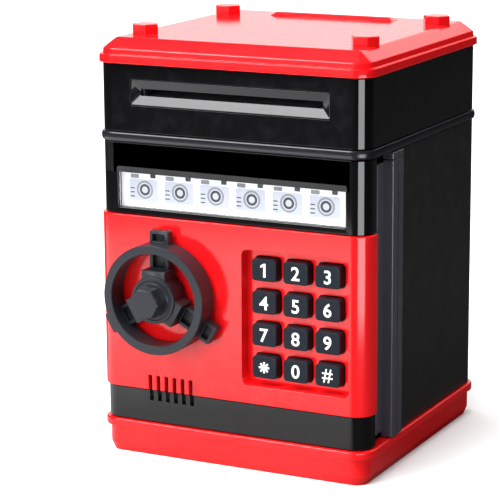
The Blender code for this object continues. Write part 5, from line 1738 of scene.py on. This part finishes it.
@dataclass
class Studio:
    """The pale floor, the soft lights and the camera."""

    eye: Place = (422.9 * MM, -879.8 * MM, 308.9 * MM)
    yaw: float = 0.4685
    pitch: float = -0.2240
    roll: float = -0.0069
    lens: float = 155.9
    floor_half: float = 6.0
    floor_tone: float = 0.86
    floor_lift: float = 0.12
    bounce: float = 0.30
    bright_to: float = 0.52
    dark_from: float = 0.59
    far_from: float = 1.6
    far_lift: float = 0.9
    lift_span: Span = (0.5, 1.5)
    foot_span: Span = (0.14, 0.28)
    foot_dim: float = 0.5
    front_span: Span = (0.0, -0.05)
    left_span: Span = (0.09, 0.05)
    left_slope: float = -0.18
    mirrored: float = 0.035
    ambient: float = 0.30
    gloss_ambient: float = 0.03
    lamps: tuple[Lamp, ...] = (
        Lamp("overhead", (-0.25, -0.35, 1.35), (0.0, 0.0, 0.08), 1.3, 1.3, 46.0, gloss=False),
        Lamp("key", (-0.58, -0.73, 1.07), (0.0, 0.0, 0.12), 0.6, 0.6, 13.6),
        Lamp("back_card", (-0.76, 1.5, 0.54), (0.0, 0.0, 0.15), 2.2, 0.5, 4.4),
        Lamp("front_fill", (-0.35, -1.2, 0.30), (0.0, 0.0, 0.09), 0.8, 0.5, 9.5, gloss=False),
        Lamp("back_glow", (0.1, 1.5, 1.15), (0.0, 0.0, 0.18), 1.4, 0.8, 5.0),
        Lamp("corner_strip", (0.262, -0.246, 0.060), (0.062, -0.062, 0.085), 0.20, 0.19, 0.85, matt=False),
    )

    def build(self) -> None:
        """Set the whole studio."""
        self._floor()
        self._surroundings()
        for lamp in self.lamps:
            lamp.build()
        self._camera()
        bpy.context.scene.view_settings.view_transform = "Standard"

    def _floor(self) -> None:
        """A pale floor that mirrors as dark beyond the lit patch."""
        half = self.floor_half
        edit = bmesh.new()
        bmesh.ops.create_grid(edit, x_segments=8, y_segments=8, size=half)
        mesh = bpy.data.meshes.new("floor")
        edit.to_mesh(mesh)
        edit.free()
        floor = bpy.data.objects.new("floor", mesh)
        bpy.context.scene.collection.objects.link(floor)
        surface = Surface("pale_floor")
        length = surface.nodes.new("ShaderNodeVectorMath")
        length.operation = "LENGTH"
        surface.links.new(surface.place(), length.inputs[0])
        away = length.outputs["Value"]
        near = self._step(surface, away, (self.dark_from, self.bright_to))
        far = self._step(surface, away, (self.far_from, 1.2 * self.far_from))
        foot = self._step(surface, away, self.foot_span)
        dimmed = surface.math("MULTIPLY_ADD", foot, self.foot_dim, 1.0 - self.foot_dim)
        near = surface.math("MULTIPLY", near, dimmed)
        split = surface.nodes.new("ShaderNodeSeparateXYZ")
        surface.links.new(surface.place(), split.inputs[0])
        before = self._step(surface, split.outputs["Y"], self.front_span)
        aside = surface.math("MULTIPLY_ADD", split.outputs["Y"], self.left_slope, split.outputs["X"])
        left = self._step(surface, aside, self.left_span)
        bright = surface.math("MAXIMUM", near, far)
        lit = surface.math("MULTIPLY", bright, surface.math("MULTIPLY", before, left))
        path = surface.nodes.new("ShaderNodeLightPath")
        dark = surface.math("MULTIPLY", surface.math("SUBTRACT", 1.0, lit), path.outputs["Is Glossy Ray"])
        tone, soft, mirrored = (self.floor_tone,) * 3, (self.bounce,) * 3, (self.mirrored,) * 3
        plain = surface.mix("MIX", path.outputs["Is Diffuse Ray"], tone, soft)
        surface.feed("Base Color", surface.mix("MIX", dark, plain, mirrored))
        distant = self._step(surface, away, self.lift_span)
        rise = surface.math("MULTIPLY_ADD", distant, self.far_lift, self.floor_lift)
        lift = surface.math("MULTIPLY", path.outputs["Is Camera Ray"], rise)
        surface.feed("Emission Color", surface.mix("MIX", lift, (0.0, 0.0, 0.0), (1.0, 1.0, 1.0)))
        surface.constant(Roughness=0.9, Specular_IOR_Level=0.1, Emission_Strength=1.0)
        mesh.materials.append(surface.material)

    def _step(
        self, surface: Surface, value: bpy.types.NodeSocket, span: Span
    ) -> bpy.types.NodeSocket:
        """A straight rise from 0 at the span's first value to 1 at its second."""
        node = surface.nodes.new("ShaderNodeMapRange")
        node.inputs["From Min"].default_value, node.inputs["From Max"].default_value = span
        surface.links.new(value, node.inputs["Value"])
        return node.outputs["Result"]

    def _surroundings(self) -> None:
        """Pale to the camera, soft fill to matt surfaces and dark to gloss."""
        world = bpy.data.worlds.new("studio")
        bpy.context.scene.world = world
        world.use_nodes = True
        nodes, links = world.node_tree.nodes, world.node_tree.links
        path = nodes.new("ShaderNodeLightPath")
        strength = nodes.new("ShaderNodeMath")
        strength.operation = "MULTIPLY_ADD"
        links.new(path.outputs["Is Glossy Ray"], strength.inputs[0])
        strength.inputs[1].default_value = self.gloss_ambient - self.ambient
        strength.inputs[2].default_value = self.ambient
        pale = nodes.new("ShaderNodeMath")
        pale.operation = "MULTIPLY_ADD"
        links.new(path.outputs["Is Camera Ray"], pale.inputs[0])
        pale.inputs[1].default_value = 1.0 - self.ambient
        links.new(strength.outputs[0], pale.inputs[2])
        back = nodes["Background"]
        back.inputs["Color"].default_value = (1.0, 1.0, 1.0, 1.0)
        links.new(pale.outputs[0], back.inputs["Strength"])

    def _camera(self) -> None:
        """The camera, from its place and its three turns."""
        forward = Vector(
            (
                -math.sin(self.yaw) * math.cos(self.pitch),
                math.cos(self.yaw) * math.cos(self.pitch),
                math.sin(self.pitch),
            )
        )
        level = Vector((math.cos(self.yaw), math.sin(self.yaw), 0.0))
        upright = level.cross(forward)
        right = level * math.cos(self.roll) + upright * math.sin(self.roll)
        up = upright * math.cos(self.roll) - level * math.sin(self.roll)
        data = bpy.data.cameras.new("camera")
        data.lens = self.lens
        data.sensor_width = 36.0
        data.clip_start = 0.01
        camera = bpy.data.objects.new("camera", data)
        bpy.context.scene.collection.objects.link(camera)
        turn = Matrix((right, up, -forward)).transposed().to_4x4()
        camera.matrix_world = Matrix.Translation(self.eye) @ turn
        bpy.context.scene.camera = camera


def main() -> None:
    """Build the studio and every sub-assembly in order."""
    logging.basicConfig(level=logging.INFO, format="%(name)s: %(message)s")
    Studio().build()
    cabinet = Cabinet()
    Plinth(cabinet).build()
    Casing(cabinet).build()
    UpperHousing(cabinet).build()
    Lid(cabinet).build()
    Door(cabinet).build()
    Keypad().build()
    Handwheel().build()
    InnerWorks().dress()


if __name__ == "__main__":
    main()
